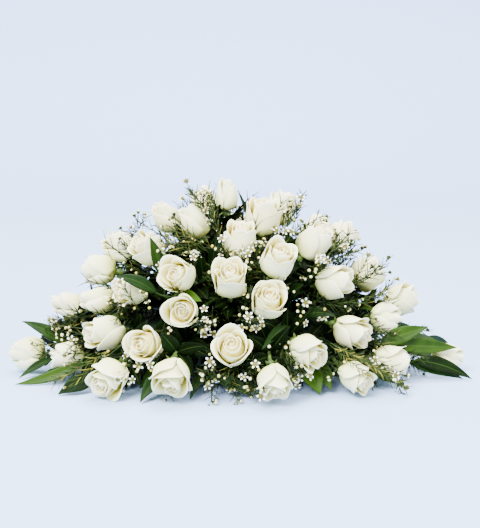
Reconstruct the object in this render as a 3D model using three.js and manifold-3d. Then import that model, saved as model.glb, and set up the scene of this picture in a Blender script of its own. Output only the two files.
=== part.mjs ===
// Casket spray: a low double-ended mound of white roses, leaves and waxflower, pushed into a wet foam block
// that stands in a shallow plastic tray. Millimetres, +Z up, +X along the spray, the viewer on the -Y side.
// The origin is the middle of the tray's flat underside.

import * as THREE from "three";
import { mergeVertices } from "three/addons/utils/BufferGeometryUtils.js";
import Module from "manifold-3d";

const wasm = await Module();
wasm.setup();

// Driving dimensions
const TRAY = { length: 440, width: 130, height: 34, wall: 2.4, floor: 2.6, corner: 12, rim: 3 };
const FOAM = { length: 424, width: 114, height: 80, edge: 6 };
const SEAT_GAP = 0.35; // between two pieces that touch
const HEAD_GAP = 0.7; // between a rose's petals and the green cup under them
const STEM = 2.7; // rose stem, centre to corner of its five sides
const CUP = { depth: 15, sepal: 14.5, droop: 4 }; // the green cup and its five sepals
const TWIG = 0.95; // waxflower twig, centre to corner
const PETIOLE = 1.5; // leaf stalk, centre to corner
const BLADE = 0.9; // half the thickness of a leaf at its midrib
const FLORET = 7.6; // waxflower floret, centre to petal tip
const BUD = 2.9; // waxflower bud, radius
const NEEDLE = 19; // waxflower needle, length
const GROUND = 0.9; // nothing but the tray comes lower than this

const FOAM_BASE = TRAY.floor + SEAT_GAP;
const FOAM_TOP = FOAM_BASE + FOAM.height;

// Rose heads: middle of the head (x, y, z), the way it faces (turn to the right of the viewer, tilt above
// level, degrees), greatest radius, length, and how far it has opened, from 0, a bud, to 1.
const ROSES = [
  // crown
  ["rose_crown_bud", -22, 10, 290, 0, 86, 19, 57, 0.3],
  ["rose_crown_back_left", -58, 62, 266, -150, 55, 25, 58, 0.5],
  ["rose_crown_left", -77, 8, 246, -105, 60, 26, 64, 0.3],
  ["rose_crown_front", 0, -62, 229, 15, 78, 30, 62, 0.6],
  ["rose_crown_right", 36, -2, 256, 40, 80, 31, 68, 0.7],
  ["rose_crown_back_right", 70, 64, 258, 120, 62, 27, 64, 0.6],
  ["rose_crown_back", 14, 112, 208, 176, 42, 29, 62, 0.8],
  // left shoulder
  ["rose_left_top", -125, 48, 246, -70, 52, 26, 62, 0.3],
  ["rose_left_shoulder", -152, -28, 207, -62, 34, 29, 64, 0.7],
  ["rose_left_outer", -205, 36, 197, -75, 42, 27, 62, 0.4],
  ["rose_left_nodding", -236, 14, 160, -95, 4, 27, 62, 0.5],
  ["rose_left_middle", -178, -62, 144, -52, 10, 25, 60, 0.7],
  ["rose_left_bud_in", -235, -32, 121, -86, 5, 25, 64, 0.1],
  ["rose_left_bud_out", -291, 36, 96, -90, 14, 22, 66, 0.3],
  // right shoulder
  ["rose_right_shoulder", 124, -26, 218, 80, 48, 30, 68, 0.5],
  ["rose_right_top", 169, 48, 212, 105, 46, 27, 62, 0.6],
  ["rose_right_back", 128, 112, 205, 155, 42, 28, 62, 0.7],
  ["rose_right_middle", 154, -66, 159, 70, 12, 29, 66, 0.6],
  ["rose_right_round", 213, 32, 154, 105, 38, 29, 62, 0.6],
  ["rose_right_outer", 270, 14, 113, 84, 24, 28, 62, 0.7],
  ["rose_right_facing", 180, -108, 86, 60, -12, 28, 64, 0.7],
  ["rose_right_bud", 239, -48, 96, 80, 6, 28, 54, 0.1],
  // front face, highest first
  ["rose_front_high_right", 60, -104, 203, 30, 52, 30, 64, 0.7],
  ["rose_front_high_left", -97, -106, 177, -32, 24, 27, 60, 0.9],
  ["rose_front_centre", -15, -120, 176, 2, 52, 28, 70, 0.9],
  ["rose_front_mid_right", 45, -140, 144, 14, 44, 29, 60, 0.9],
  ["rose_front_mid_left", -88, -146, 130, -12, 14, 25, 60, 1],
  ["rose_front_low_left", -147, -152, 78, -24, 16, 28, 60, 1],
  ["rose_front_low_centre", -12, -186, 79, -4, 34, 28, 60, 1],
  ["rose_front_low_right", 107, -164, 71, 42, -14, 28, 60, 0.7],
  ["rose_left_cheek", -220, -95, 82, -58, 2, 30, 70, 0.6],
  // lowest row, resting on the table
  ["rose_end_left", -351, -40, 31, -88, 0, 30, 64, 0.2],
  ["rose_ground_left_end", -281, -76, 34, -75, -2, 27, 62, 0.4],
  ["rose_ground_left", -203, -188, 33, -35, -26, 28, 62, 0.9],
  ["rose_ground_mid_left", -105, -212, 40, -8, -42, 31, 58, 0.9],
  ["rose_ground_mid_right", 53, -220, 36, 14, -44, 27, 54, 0.8],
  ["rose_ground_right", 182, -172, 29, 46, -20, 25, 60, 0.8],
  ["rose_ground_right_end", 244, -100, 35, 80, -5, 29, 66, 0.7],
  ["rose_end_right", 344, -38, 27, 85, 0, 25, 56, 0.2],
  // far side
  ["rose_back_left", -178, 150, 60, -145, 2, 29, 62, 0.8],
  ["rose_back_middle", -8, 190, 62, 178, 4, 31, 62, 0.9],
  ["rose_back_right", 168, 152, 62, 142, 2, 29, 62, 0.8],
  ["rose_back_high_left", -96, 136, 142, -158, 24, 29, 62, 0.9],
  ["rose_back_high_right", 84, 150, 140, 156, 22, 29, 62, 0.9],
];

// Where the rose stems of one stretch of foam meet, deep in the block
const STEM_KNOTS = { far_left: -160, left: -54, right: 54, far_right: 160 };
const KNOT = { height: 50, radius: 13 };

// Leafy stems: the foot of each group in the foam, then for each stem its leaves in order from the foot, as
// base on the stem, tip, width and arch. The last leaf ends its stem.
const LEAFY_STEMS = {
  left: {
    foot: [-198, -30, 68],
    stems: [
      [[[-284, -34, 60], [-356, -44, 88], 22, 4], [[-312, -62, 20], [-358, -86, 3], 13, 3]],
      [[[-232, -116, 42], [-359, -119, 3], 18, -6], [[-290, -98, 16], [-326, -78, 3], 13, 3]],
      [[[-300, 40, 52], [-352, 92, 4], 24, 10], [[-326, 26, 30], [-382, 44, 4], 20, 8]],
      [[[-236, 62, 96], [-300, 104, 84], 24, 10], [[-258, 84, 60], [-330, 138, 6], 25, 10]],
      [[[-170, -64, 96], [-190, -114, 118], 20, 5], [[-176, 36, 150], [-188, 88, 178], 24, 5]],
      [[[-232, -164, 15], [-284, -174, 3], 29, 2]],
    ],
  },
  right: {
    foot: [176, -30, 46],
    stems: [
      [[[213, -84, 68], [305, -64, 84], 28, 0], [[262, -76, 51], [353, -60, 48], 27, 0]],
      [[[291, -84, 14], [360, -87, 3], 20, 3], [[278, -84, 38], [374, -92, 4], 24, 7]],
      [[[266, -36, 60], [326, -20, 48], 22, 4], [[312, 50, 24], [368, 86, 4], 25, 8]],
      [[[242, 66, 96], [306, 100, 84], 24, 10], [[250, 84, 36], [322, 140, 5], 25, 6]],
      [[[198, -56, 98], [222, -62, 107], 12, 2], [[176, 56, 130], [196, 92, 160], 24, 5]],
    ],
  },
  front_left: {
    foot: [-120, -44, 46],
    stems: [
      [[[-118, -146, 49], [-158, -158, 8], 20, 3], [[-123, -172, 24], [-153, -216, 3], 23, 5]],
      [[[-50, -160, 32], [-77, -200, 3], 16, 5], [[-37, -172, 27], [22, -190, 3], 20, 5]],
      [[[-86, -112, 149], [-60, -135, 143], 26, 6], [[-144, -84, 148], [-199, -90, 172], 21, 7]],
      [[[-122, -60, 176], [-144, -66, 232], 20, 3]],
      [[[-56, -70, 156], [-64, -94, 212], 20, 4], [[-40, -34, 184], [-36, -52, 236], 18, 3]],
      [[[-52, -112, 96], [-50, -146, 142], 20, 4], [[-92, -140, 66], [-80, -186, 66], 20, 4]],
    ],
  },
  front_right: {
    foot: [96, -34, 46],
    stems: [
      [[[73, -136, 43], [107, -148, 22], 24, 3], [[114, -146, 38], [125, -179, 4], 33, 4]],
      [[[126, -142, 37], [143, -166, 8], 26, 4]],
      [[[216, -140, 24], [264, -132, 3], 18, 4]],
      [[[60, -136, 110], [34, -190, 80], 18, 4], [[112, -118, 122], [150, -152, 122], 16, 6]],
      [[[40, 30, 180], [-4, 26, 294], 14, 3]],
      [[[28, -80, 150], [22, -108, 204], 20, 4], [[92, -82, 130], [100, -122, 166], 20, 4]],
    ],
  },
  back: {
    foot: [-12, 4, 46],
    stems: [
      [[[-62, 160, 26], [-74, 226, 3], 26, 6], [[-116, 160, 20], [-150, 214, 3], 27, 6]],
      [[[52, 160, 26], [62, 226, 3], 27, 6], [[112, 164, 20], [142, 214, 3], 26, 6]],
      [[[-150, 116, 110], [-196, 146, 122], 24, 8], [[-222, 112, 36], [-262, 172, 4], 27, 8]],
      [[[150, 118, 108], [196, 146, 122], 24, 8], [[216, 112, 36], [256, 170, 4], 27, 8]],
      [[[-40, 134, 110], [-30, 184, 112], 24, 8], [[36, 130, 160], [58, 172, 186], 22, 6]],
      [[[-70, 70, 170], [-86, 118, 214], 24, 5], [[-20, 60, 190], [-18, 100, 240], 22, 4]],
      [[[90, 76, 120], [110, 150, 96], 22, 5], [[58, 60, 170], [56, 106, 224], 22, 4]],
    ],
  },
};

// Waxflower sprays: the foot of each, where its bundle of stems leaves the top of the foam, and where its
// shoots end
const WAX_POST = { radius: 4.5, depth: 36 };
const WAX_SPRAYS = {
  crown: {
    foot: [0, 4, 90],
    tips: [[-86, 12, 300], [98, 8, 272], [134, 30, 250], [26, -98, 214], [-30, -92, 222], [-18, 96, 262]],
  },
  left: {
    foot: [-124, 4, 90],
    tips: [[-168, -20, 250], [-118, -76, 226], [-300, -58, 92], [-276, -112, 60], [-196, -108, 128],
      [-210, 92, 150]],
  },
  right: {
    foot: [112, 4, 90],
    tips: [[232, -36, 168], [190, -22, 214], [128, -92, 186], [118, -130, 130], [262, -164, 14],
      [208, 96, 146]],
  },
  front: {
    foot: [0, -36, 90],
    tips: [[-64, -182, 112], [14, -176, 120], [-58, -222, 44], [26, -232, 16], [96, -208, 38]],
  },
  back: {
    foot: [0, 40, 90],
    tips: [[-52, 190, 118], [64, 186, 96], [-112, 196, 60], [40, 140, 206]],
  },
};

const COLOUR = {
  petal: { color: 0xf6f2e4, roughness: 0.62, metalness: 0 },
  stem: { color: 0x5d7a3c, roughness: 0.6, metalness: 0 },
  leaf: { color: 0x2f5426, roughness: 0.42, metalness: 0 },
  wax: { color: 0x7f9650, roughness: 0.55, metalness: 0 },
  foam: { color: 0x2f5a3a, roughness: 0.95, metalness: 0 },
  tray: { color: 0x1f3a28, roughness: 0.45, metalness: 0 },
};

// Vectors and seeded draws
const vec = (x, y, z) => new THREE.Vector3(x, y, z);
const UP = vec(0, 0, 1);
const rad = THREE.MathUtils.degToRad;

function draws(seed) {
  let state = seed >>> 0;
  return () => {
    state = (state + 0x6d2b79f5) >>> 0;
    let t = state;
    t = Math.imul(t ^ (t >>> 15), t | 1);
    t ^= t + Math.imul(t ^ (t >>> 7), t | 61);
    return ((t ^ (t >>> 14)) >>> 0) / 4294967296;
  };
}

// Two directions square to a third
function square(along) {
  const side = vec(0, 0, 0).crossVectors(UP, along);
  if (side.length() < 0.05) side.set(1, 0, 0);
  side.normalize();
  const lift = vec(0, 0, 0).crossVectors(along, side).normalize();
  return [side, lift];
}

// A closed skin over rings of equal count, drawn to a point at each end
function skin(start, rings, end) {
  const columns = rings[0].length;
  const geometry = new THREE.SphereGeometry(1, columns, rings.length + 1);
  const place = geometry.attributes.position;
  const rows = [Array(columns).fill(end), ...[...rings].reverse(), Array(columns).fill(start)];
  rows.forEach((ring, row) => {
    for (let column = 0; column <= columns; column++) {
      const point = ring[column % columns];
      place.setXYZ(row * (columns + 1) + column, point.x, point.y, Math.max(point.z, GROUND));
    }
  });
  return solidOf(geometry);
}

function solidOf(geometry) {
  const bare = geometry.clone();
  bare.deleteAttribute("normal");
  bare.deleteAttribute("uv");
  const merged = mergeVertices(bare, 1e-4);
  return new wasm.Manifold(
    new wasm.Mesh({
      numProp: 3,
      vertProperties: new Float32Array(merged.attributes.position.array),
      triVerts: new Uint32Array(merged.index.array),
    }),
  );
}

function geometryOf(solid) {
  const mesh = solid.getMesh();
  const points = new Float32Array(mesh.numVert * 3);
  for (let i = 0; i < mesh.numVert; i++) {
    points.set(mesh.vertProperties.subarray(i * mesh.numProp, i * mesh.numProp + 3), i * 3);
  }
  const geometry = new THREE.BufferGeometry();
  geometry.setAttribute("position", new THREE.BufferAttribute(points, 3));
  geometry.setIndex(new THREE.BufferAttribute(mesh.triVerts, 1));
  geometry.computeVertexNormals();
  return geometry;
}

const joined = (solids) => wasm.Manifold.union(solids);

// The largest body of a solid that a cut may have left in pieces, cleaned of slivers
const SLIVER = 0.02;
function largest(solid) {
  const bodies = solid.simplify(SLIVER).decompose();
  return bodies.sort((a, b) => b.volume() - a.volume())[0];
}

// A square or triangular bar along a path, pointed at both ends
function bar(path, radius, sides) {
  const rings = path.slice(1, -1).map((point, i) => {
    const along = path[i + 2].clone().sub(path[i]).normalize();
    const [side, lift] = square(along);
    return Array.from({ length: sides }, (_, k) => {
      const a = (2 * Math.PI * (k + 0.5)) / sides;
      return point
        .clone()
        .addScaledVector(side, radius * Math.cos(a))
        .addScaledVector(lift, radius * Math.sin(a));
    });
  });
  return skin(path[0], rings, path[path.length - 1]);
}

// Roses
const roses = ROSES.map(([name, x, y, z, turn, tilt, radius, length, open], index) => {
  const facing = vec(
    Math.sin(rad(turn)) * Math.cos(rad(tilt)),
    -Math.cos(rad(turn)) * Math.cos(rad(tilt)),
    Math.sin(rad(tilt)),
  );
  const middle = vec(x, y, z);
  const base = middle.clone().addScaledVector(facing, -length / 2);
  return { name, middle, facing, base, radius, length, open, spin: index * 2.4 };
});

// Points of a rose, from its own cylinder: angle, distance from its axis, height above its base
function roseFrame(rose) {
  const [side, lift] = square(rose.facing);
  return (angle, r, h) =>
    rose.base
      .clone()
      .addScaledVector(side, r * Math.cos(angle + rose.spin))
      .addScaledVector(lift, r * Math.sin(angle + rose.spin))
      .addScaledVector(rose.facing, h);
}

// Petals in two whorls over a hollow heart: four outer petals of three columns each, their leading edges
// lapped over the next, then three inner petals of four columns.
const PETAL_COLUMNS = 12;
function bloom(rose) {
  const at = roseFrame(rose);
  const { radius: R, length: L, open } = rose;
  const ring = (make) =>
    Array.from({ length: PETAL_COLUMNS }, (_, k) => {
      const [r, h] = make(k);
      return at((2 * Math.PI * k) / PETAL_COLUMNS, r, h);
    });
  const lap = [0.05, 0.02, -0.05];
  const lipOut = [0.04, 0.1, -0.04];
  const lipUp = [-0.04, 0.03, -0.09];
  const innerUp = [-0.03, 0.0, 0.02, -0.05];
  const innerOut = [0.03, 0.05, 0, -0.05];
  const rings = [
    ring(() => [6.4, 0]),
    ring((k) => [R * (0.74 + lap[k % 3] / 2), L * 0.13]),
    ring((k) => [R * (0.96 + lap[k % 3]), L * 0.42]),
    ring((k) => [
      R * (0.66 + 0.3 * open + lipOut[k % 3] * (0.4 + 0.6 * open)),
      L * (0.93 - 0.07 * open + lipUp[k % 3]),
    ]),
    ring(() => [R * (0.5 + 0.2 * open), L * (0.84 - 0.12 * open)]),
    ring((k) => [R * (0.38 + 0.18 * open + innerOut[k % 4]), L * (0.98 - 0.02 * open + innerUp[k % 4])]),
  ];
  return skin(at(0, 0, 0), rings, at(0, 0, L * (0.95 - 0.12 * open)));
}

// Pushes a point out of every rose head but one, with room to spare
function clearOfRoses(point, room, own = null) {
  const p = point.clone();
  for (let pass = 0; pass < 2; pass++) {
    for (const rose of roses) {
      if (rose === own) continue;
      const out = p.clone().sub(rose.middle);
      const along = out.dot(rose.facing);
      const across = Math.sqrt(Math.max(out.lengthSq() - along * along, 0));
      const f = Math.hypot(along / (rose.length / 2 + room), across / (rose.radius * 1.04 + room));
      if (f < 1) p.copy(rose.middle).addScaledVector(out, 1 / Math.max(f, 0.05));
    }
  }
  return p;
}

// Bends a path round the rose heads, its first points held
function route(path, room, own = null, held = 1) {
  const bent = path.map((p) => p.clone());
  for (let pass = 0; pass < 4; pass++) {
    for (let i = held; i < bent.length - 1; i++) {
      const between = bent[i - 1].clone().add(bent[i + 1]).multiplyScalar(0.5);
      bent[i].lerp(between, pass < 3 ? 0.35 : 0);
      bent[i].copy(clearOfRoses(bent[i], room, own));
    }
  }
  return bent;
}

// Where a stem from a foot in the foam comes out of the block, with a little to spare
function comesOut(foot, towards) {
  const dir = towards.clone().sub(foot).normalize();
  const spare = 5;
  const reach = [
    (FOAM.length / 2 + spare - Math.sign(dir.x) * foot.x) / Math.max(Math.abs(dir.x), 1e-6),
    (FOAM.width / 2 + spare - Math.sign(dir.y) * foot.y) / Math.max(Math.abs(dir.y), 1e-6),
    dir.z > 0.05 ? (FOAM_TOP + spare - foot.z) / dir.z : Infinity,
  ];
  return foot.clone().addScaledVector(dir, Math.min(...reach));
}

// A rose stem in one skin: from the knot in the foam to the green cup, whose five sepals turn down
function roseStem(rose, knot, grow) {
  const foot = rose.base.clone().addScaledVector(rose.facing, -CUP.depth);
  const lead = foot.clone().addScaledVector(rose.facing, -0.2 * foot.distanceTo(knot));
  const out = comesOut(knot, lead.clone().setZ(Math.max(lead.z, TRAY.height + 12)));
  const path = route([knot, out, out.clone().lerp(lead, 0.6), foot], STEM + 1.5, rose, 2);
  const rings = path.slice(1, -1).map((point, i) => {
    const [side, lift] = square(path[i + 2].clone().sub(path[i]).normalize());
    return Array.from({ length: 5 }, (_, k) => {
      const a = (2 * Math.PI * k) / 5 + rose.spin;
      return point
        .clone()
        .addScaledVector(side, (STEM + grow) * Math.cos(a))
        .addScaledVector(lift, (STEM + grow) * Math.sin(a));
    });
  });
  const at = roseFrame(rose);
  const cupRing = (r, h) => Array.from({ length: 5 }, (_, k) => at((2 * Math.PI * k) / 5, r + grow, h));
  rings.push(cupRing(STEM, -CUP.depth), cupRing(CUP.sepal, -HEAD_GAP - CUP.droop));
  return skin(knot, rings, at(0, 0, -HEAD_GAP));
}

const knotAt = (x) => vec(x, 0, KNOT.height);
function nearestKnot(rose) {
  const names = Object.keys(STEM_KNOTS);
  const gap = (name) => rose.base.distanceTo(knotAt(STEM_KNOTS[name]));
  return names.sort((a, b) => gap(a) - gap(b))[0];
}

function roseStems(name, grow) {
  const knot = knotAt(STEM_KNOTS[name]);
  const ball = new THREE.IcosahedronGeometry(KNOT.radius + grow, 0).translate(knot.x, knot.y, knot.z);
  const own = roses.filter((rose) => nearestKnot(rose) === name);
  return joined([solidOf(ball), ...own.map((rose) => roseStem(rose, knot, grow))]);
}

// Leaves: stations along the blade and its half width there, as shares
const BLADE_STATIONS = [[0.1, 0.42], [0.36, 0.98], [0.64, 0.84], [0.86, 0.36]];

// Blades turn their faces outward: towards the viewer in front of the spray, away behind it, and as far as
// their height over the table lets them.
const LEAF_CANT = 0.85; // sine of the most that a blade turns from level
function bladeFace(from, to, width, arch) {
  const middle = from.clone().lerp(to, 0.5);
  const room = Math.max((middle.z + arch - GROUND) / (width / 2), 0);
  const outward = THREE.MathUtils.clamp(-middle.y / 50, -1, 1) * Math.min(LEAF_CANT, room);
  return vec(0, -outward, Math.sqrt(1 - outward * outward));
}

function bladeSquare(along, face) {
  const side = vec(0, 0, 0).crossVectors(face, along);
  if (side.length() < 0.2) return square(along);
  side.normalize();
  return [side, vec(0, 0, 0).crossVectors(along, side).normalize()];
}

// A leaf folded along its midrib, arched from its base on the stem to its tip
function leaf(from, [, tip, width, arch], grow) {
  const to = vec(...tip);
  const bow = from.clone().lerp(to, 0.5).addScaledVector(UP, arch * 2);
  const rib = new THREE.QuadraticBezierCurve3(from, bow, to);
  const face = bladeFace(from, to, width, arch);
  const rings = BLADE_STATIONS.map(([t, share]) => {
    const half = (width / 2) * share;
    const [side, lift] = bladeSquare(rib.getTangent(t), face);
    const point = rib.getPoint(t);
    const edge = (s) =>
      point.clone().addScaledVector(side, s * (half + grow)).addScaledVector(lift, half * 0.25);
    return [
      edge(1),
      point.clone().addScaledVector(lift, BLADE + grow),
      edge(-1),
      point.clone().addScaledVector(lift, -BLADE - grow),
    ];
  });
  const past = to.clone().sub(from).normalize().multiplyScalar(grow * 2);
  return skin(from, rings, to.clone().add(past));
}

function leafyStem(foot, leaves, grow) {
  const bases = leaves.map(([base]) => vec(...base));
  const root = vec(...foot);
  const out = comesOut(root, bases[0].clone().setZ(Math.max(bases[0].z, TRAY.height + 12)));
  const stops = [root, out, out.clone().lerp(bases[0], 0.55), ...bases];
  const [, tip] = leaves[leaves.length - 1];
  const past = bases[bases.length - 1].clone().lerp(vec(...tip), 0.12);
  const path = route([...stops, past], PETIOLE + 1.5, null, 2);
  return [bar(path, PETIOLE + grow, 3), ...leaves.map((row, i) => leaf(path[i + 3], row, grow))];
}

function leafyStems(name, grow) {
  const { foot, stems } = LEAFY_STEMS[name];
  const knuckle = solidOf(new THREE.IcosahedronGeometry(6 + grow, 0).translate(...foot));
  return joined([knuckle, ...stems.flatMap((leaves) => leafyStem(foot, leaves, grow))]);
}

// Waxflower: a shoot from the foot to its tip, with needles, and side twigs that end in florets and round
// buds
const SHOOT_STEPS = 4;
function shoot(foot, tip, seed, grow) {
  const draw = draws(seed);
  const start = vec(...foot);
  const end = clearOfRoses(vec(...tip), 3);
  const out = end.clone().sub(start);
  const bow = start.clone().lerp(end, 0.45).addScaledVector(UP, 14);
  const curve = new THREE.QuadraticBezierCurve3(start, bow, end);
  const path = route(curve.getPoints(SHOOT_STEPS), TWIG + 2);
  const solids = [bar(path, TWIG + grow, 3)];
  const sprig = (t) => {
    const i = Math.min(Math.floor(t * SHOOT_STEPS), SHOOT_STEPS - 1);
    return path[i].clone().lerp(path[i + 1], t * SHOOT_STEPS - i);
  };
  const towards = (t, spread) => {
    const along = sprig(Math.min(t + 0.05, 1)).sub(sprig(t - 0.1)).normalize();
    const [side, lift] = square(along);
    const a = 2 * Math.PI * draw();
    return along
      .multiplyScalar(Math.cos(spread))
      .addScaledVector(side, Math.sin(spread) * Math.cos(a))
      .addScaledVector(lift, Math.sin(spread) * Math.sin(a));
  };
  for (let k = 0; k < 2; k++) {
    const t = 0.8 + 0.14 * k;
    const dir = towards(t, 0.6);
    const root = sprig(t);
    const point = clearOfRoses(root.clone().addScaledVector(dir, NEEDLE), 2);
    const middle = clearOfRoses(root.clone().lerp(point, 0.5), 2);
    solids.push(bar([root, middle, point], 0.85 + grow, 3));
  }
  for (let k = 0; k < 3; k++) {
    const t = 0.8 + 0.09 * k;
    const dir = towards(t, 0.75);
    const root = sprig(t);
    const head = clearOfRoses(root.clone().addScaledVector(dir, 14 + 8 * draw()), FLORET + 0.5);
    solids.push(draw() < (k === 2 ? 0.6 : 0.25) ? floret(root, head, grow) : bud(root, head, grow));
  }
  return solids;
}

// A floret on its twig: five petals round a shallow cup
function floret(root, head, grow) {
  const dir = head.clone().sub(root).normalize();
  const [side, lift] = square(dir);
  const ring = (r, back) =>
    Array.from({ length: 5 }, (_, k) => {
      const a = (2 * Math.PI * k) / 5;
      return head
        .clone()
        .addScaledVector(side, (r + grow) * Math.cos(a))
        .addScaledVector(lift, (r + grow) * Math.sin(a))
        .addScaledVector(dir, -back);
    });
  return skin(root, [ring(0.9, 4.5 + grow), ring(FLORET, 0)], head.clone().addScaledVector(dir, 0.9 + grow));
}

// A closed bud on its twig
function bud(root, head, grow) {
  const dir = head.clone().sub(root).normalize();
  const [side, lift] = square(dir);
  const ring = (r, back) =>
    Array.from({ length: 4 }, (_, k) => {
      const a = (Math.PI * k) / 2;
      return head
        .clone()
        .addScaledVector(side, (r + grow) * Math.cos(a))
        .addScaledVector(lift, (r + grow) * Math.sin(a))
        .addScaledVector(dir, -back);
    });
  return skin(root, [ring(0.9, 3 + grow), ring(BUD, 0)], head.clone().addScaledVector(dir, BUD + grow));
}

function waxSpray(name, grow) {
  const { foot, tips } = WAX_SPRAYS[name];
  const seed = Object.keys(WAX_SPRAYS).indexOf(name) * 100;
  const rings = [WAX_POST.depth - 3, 0].map((drop) => {
    const [x, y, z] = foot;
    return Array.from({ length: 6 }, (_, k) => {
      const a = (Math.PI * k) / 3;
      return vec(
        x + (WAX_POST.radius + grow) * Math.cos(a),
        y + (WAX_POST.radius + grow) * Math.sin(a),
        z - drop,
      );
    });
  });
  const low = vec(...foot).addScaledVector(UP, -WAX_POST.depth - grow);
  const high = vec(...foot).addScaledVector(UP, 3 + grow);
  return joined([skin(low, rings, high), ...tips.flatMap((tip, k) => shoot(foot, tip, seed + k, grow))]);
}

// Tray: a round-cornered tub with a turned-out rim, on a flat underside
function roundedBar(length, width, corner, from, to) {
  const shape = new THREE.Shape();
  const x = length / 2 - corner;
  const y = width / 2 - corner;
  shape.absarc(x, -y, corner, -Math.PI / 2, 0);
  shape.absarc(x, y, corner, 0, Math.PI / 2);
  shape.absarc(-x, y, corner, Math.PI / 2, Math.PI);
  shape.absarc(-x, -y, corner, Math.PI, 1.5 * Math.PI);
  const depth = to - from;
  const geometry = new THREE.ExtrudeGeometry(shape, { depth, bevelEnabled: false, curveSegments: 2 });
  return solidOf(geometry.translate(0, 0, from));
}

function tray() {
  const tub = roundedBar(TRAY.length, TRAY.width, TRAY.corner, 0, TRAY.height);
  const rim = roundedBar(
    TRAY.length + 2 * TRAY.rim,
    TRAY.width + 2 * TRAY.rim,
    TRAY.corner + TRAY.rim,
    TRAY.height - TRAY.wall,
    TRAY.height,
  );
  const hollow = roundedBar(
    TRAY.length - 2 * TRAY.wall,
    TRAY.width - 2 * TRAY.wall,
    TRAY.corner - TRAY.wall,
    TRAY.floor,
    TRAY.height + 1,
  );
  return tub.add(rim).subtract(hollow);
}

// Foam block, its top edges planed off, with a plain hole for every stem
function foam(stems) {
  const { length, width, height, edge } = FOAM;
  const outline = new THREE.Shape();
  outline.moveTo(-width / 2, 0);
  outline.lineTo(width / 2, 0);
  outline.lineTo(width / 2, height - edge);
  outline.lineTo(width / 2 - edge, height);
  outline.lineTo(-width / 2 + edge, height);
  outline.lineTo(-width / 2, height - edge);
  const geometry = new THREE.ExtrudeGeometry(outline, { depth: length, bevelEnabled: false });
  geometry.rotateX(Math.PI / 2).rotateZ(Math.PI / 2).translate(-length / 2, 0, FOAM_BASE);
  return stems.reduce((block, stem) => block.subtract(stem), solidOf(geometry));
}

// Each kind is cut clear of what stood there before it, and keeps a gap.
const heads = roses.map((rose) => [rose, bloom(rose)]);
const HEAD_ROOM = 0.4;
const headRoom = joined(
  heads.map(([rose, solid]) => {
    const k = 1 + HEAD_ROOM / rose.radius;
    const { x, y, z } = rose.middle;
    return solid.hull().translate(-x, -y, -z).scale(k).translate(x, y, z);
  }),
);

const WALL_GAP = 0.55; // grown by this, a four-sided bar keeps about SEAT_GAP from its hole
const waxNames = Object.keys(WAX_SPRAYS);
const leafNames = Object.keys(LEAFY_STEMS);
const stemNames = Object.keys(STEM_KNOTS);

const trayBody = tray();
const trayRoom = roundedBar(
  TRAY.length + 2 * TRAY.rim + 1,
  TRAY.width + 2 * TRAY.rim + 1,
  TRAY.corner + TRAY.rim,
  -1,
  TRAY.height + SEAT_GAP,
).subtract(roundedBar(FOAM.length, FOAM.width, FOAM.edge, -2, TRAY.height + 2));

const nodes = [];
const keep = (name, solid, colour) => nodes.push({ name, solid, colour });
heads.forEach(([rose, solid]) => keep(rose.name, solid, COLOUR.petal));

let taken = headRoom.add(trayRoom);
const grown = [];
function grows(name, build, colour) {
  const solid = largest(build(0).subtract(taken));
  keep(name, solid, colour);
  const room = build(WALL_GAP);
  grown.push(room);
  taken = taken.add(room);
}
waxNames.forEach((name) => grows(`waxflower_${name}`, (grow) => waxSpray(name, grow), COLOUR.wax));
stemNames.forEach((name) => grows(`rose_stems_${name}`, (grow) => roseStems(name, grow), COLOUR.stem));
leafNames.forEach((name) => grows(`leaves_${name}`, (grow) => leafyStems(name, grow), COLOUR.leaf));

keep("foam_block", largest(foam(grown)), COLOUR.foam);
keep("tray", trayBody, COLOUR.tray);

const spray = new THREE.Group();
for (const { name, solid, colour } of nodes) {
  const mesh = new THREE.Mesh(geometryOf(solid), new THREE.MeshStandardMaterial(colour));
  mesh.name = name;
  spray.add(mesh);
}

export default spray;
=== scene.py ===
# Casket spray: white roses, glossy leaves and waxflower in wet foam, standing in a shallow tray.
# The tables below give places and sizes in millimetres, as the solids have them; meshes are in metres.

import math
import random

import bmesh
import bpy
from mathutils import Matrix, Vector


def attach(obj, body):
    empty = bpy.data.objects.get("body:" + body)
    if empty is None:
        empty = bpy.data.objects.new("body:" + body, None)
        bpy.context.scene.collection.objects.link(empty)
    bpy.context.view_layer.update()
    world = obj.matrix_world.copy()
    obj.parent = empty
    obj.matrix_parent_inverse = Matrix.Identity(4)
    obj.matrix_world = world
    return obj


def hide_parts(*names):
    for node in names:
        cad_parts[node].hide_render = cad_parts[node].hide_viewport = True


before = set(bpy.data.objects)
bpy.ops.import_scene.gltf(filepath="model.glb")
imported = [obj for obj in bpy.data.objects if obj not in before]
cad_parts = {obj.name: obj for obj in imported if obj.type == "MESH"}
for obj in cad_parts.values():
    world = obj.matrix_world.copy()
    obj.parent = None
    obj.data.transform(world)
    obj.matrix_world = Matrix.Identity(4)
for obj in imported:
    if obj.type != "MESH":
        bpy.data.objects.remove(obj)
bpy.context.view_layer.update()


# Table, light and camera
# A seamless sheet of pale blue-white paper sweeps up behind the spray. Soft boxes light it from the front,
# the sides and above, and the camera stands 2.5 m off, a little above the flowers.

PAPER = "#b1cbf5"
PAPER_REACH = 2.6  # half the width of the sheet, metres
PAPER_LENGTH = 4.8  # along the floor and up the wall, metres
PAPER_FRONT = 2.2  # how far it comes out in front of the spray, metres
PAPER_RISE = 1.7  # where it starts to turn up behind the spray, metres
PAPER_BEND = 0.9  # how much of it the turn takes, metres
AMBIENT = 1.6  # strength of the light from the pale room
SENSOR = 36.0  # millimetres
PHOTO_HEIGHT = 528  # pixels
FOCAL = 1516.4  # pixels
CAMERA_FAR = 2.5  # metres from the middle of the spray
CAMERA_TILT = math.radians(12)
AIM = Vector((0, 0, 0.174))


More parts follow.
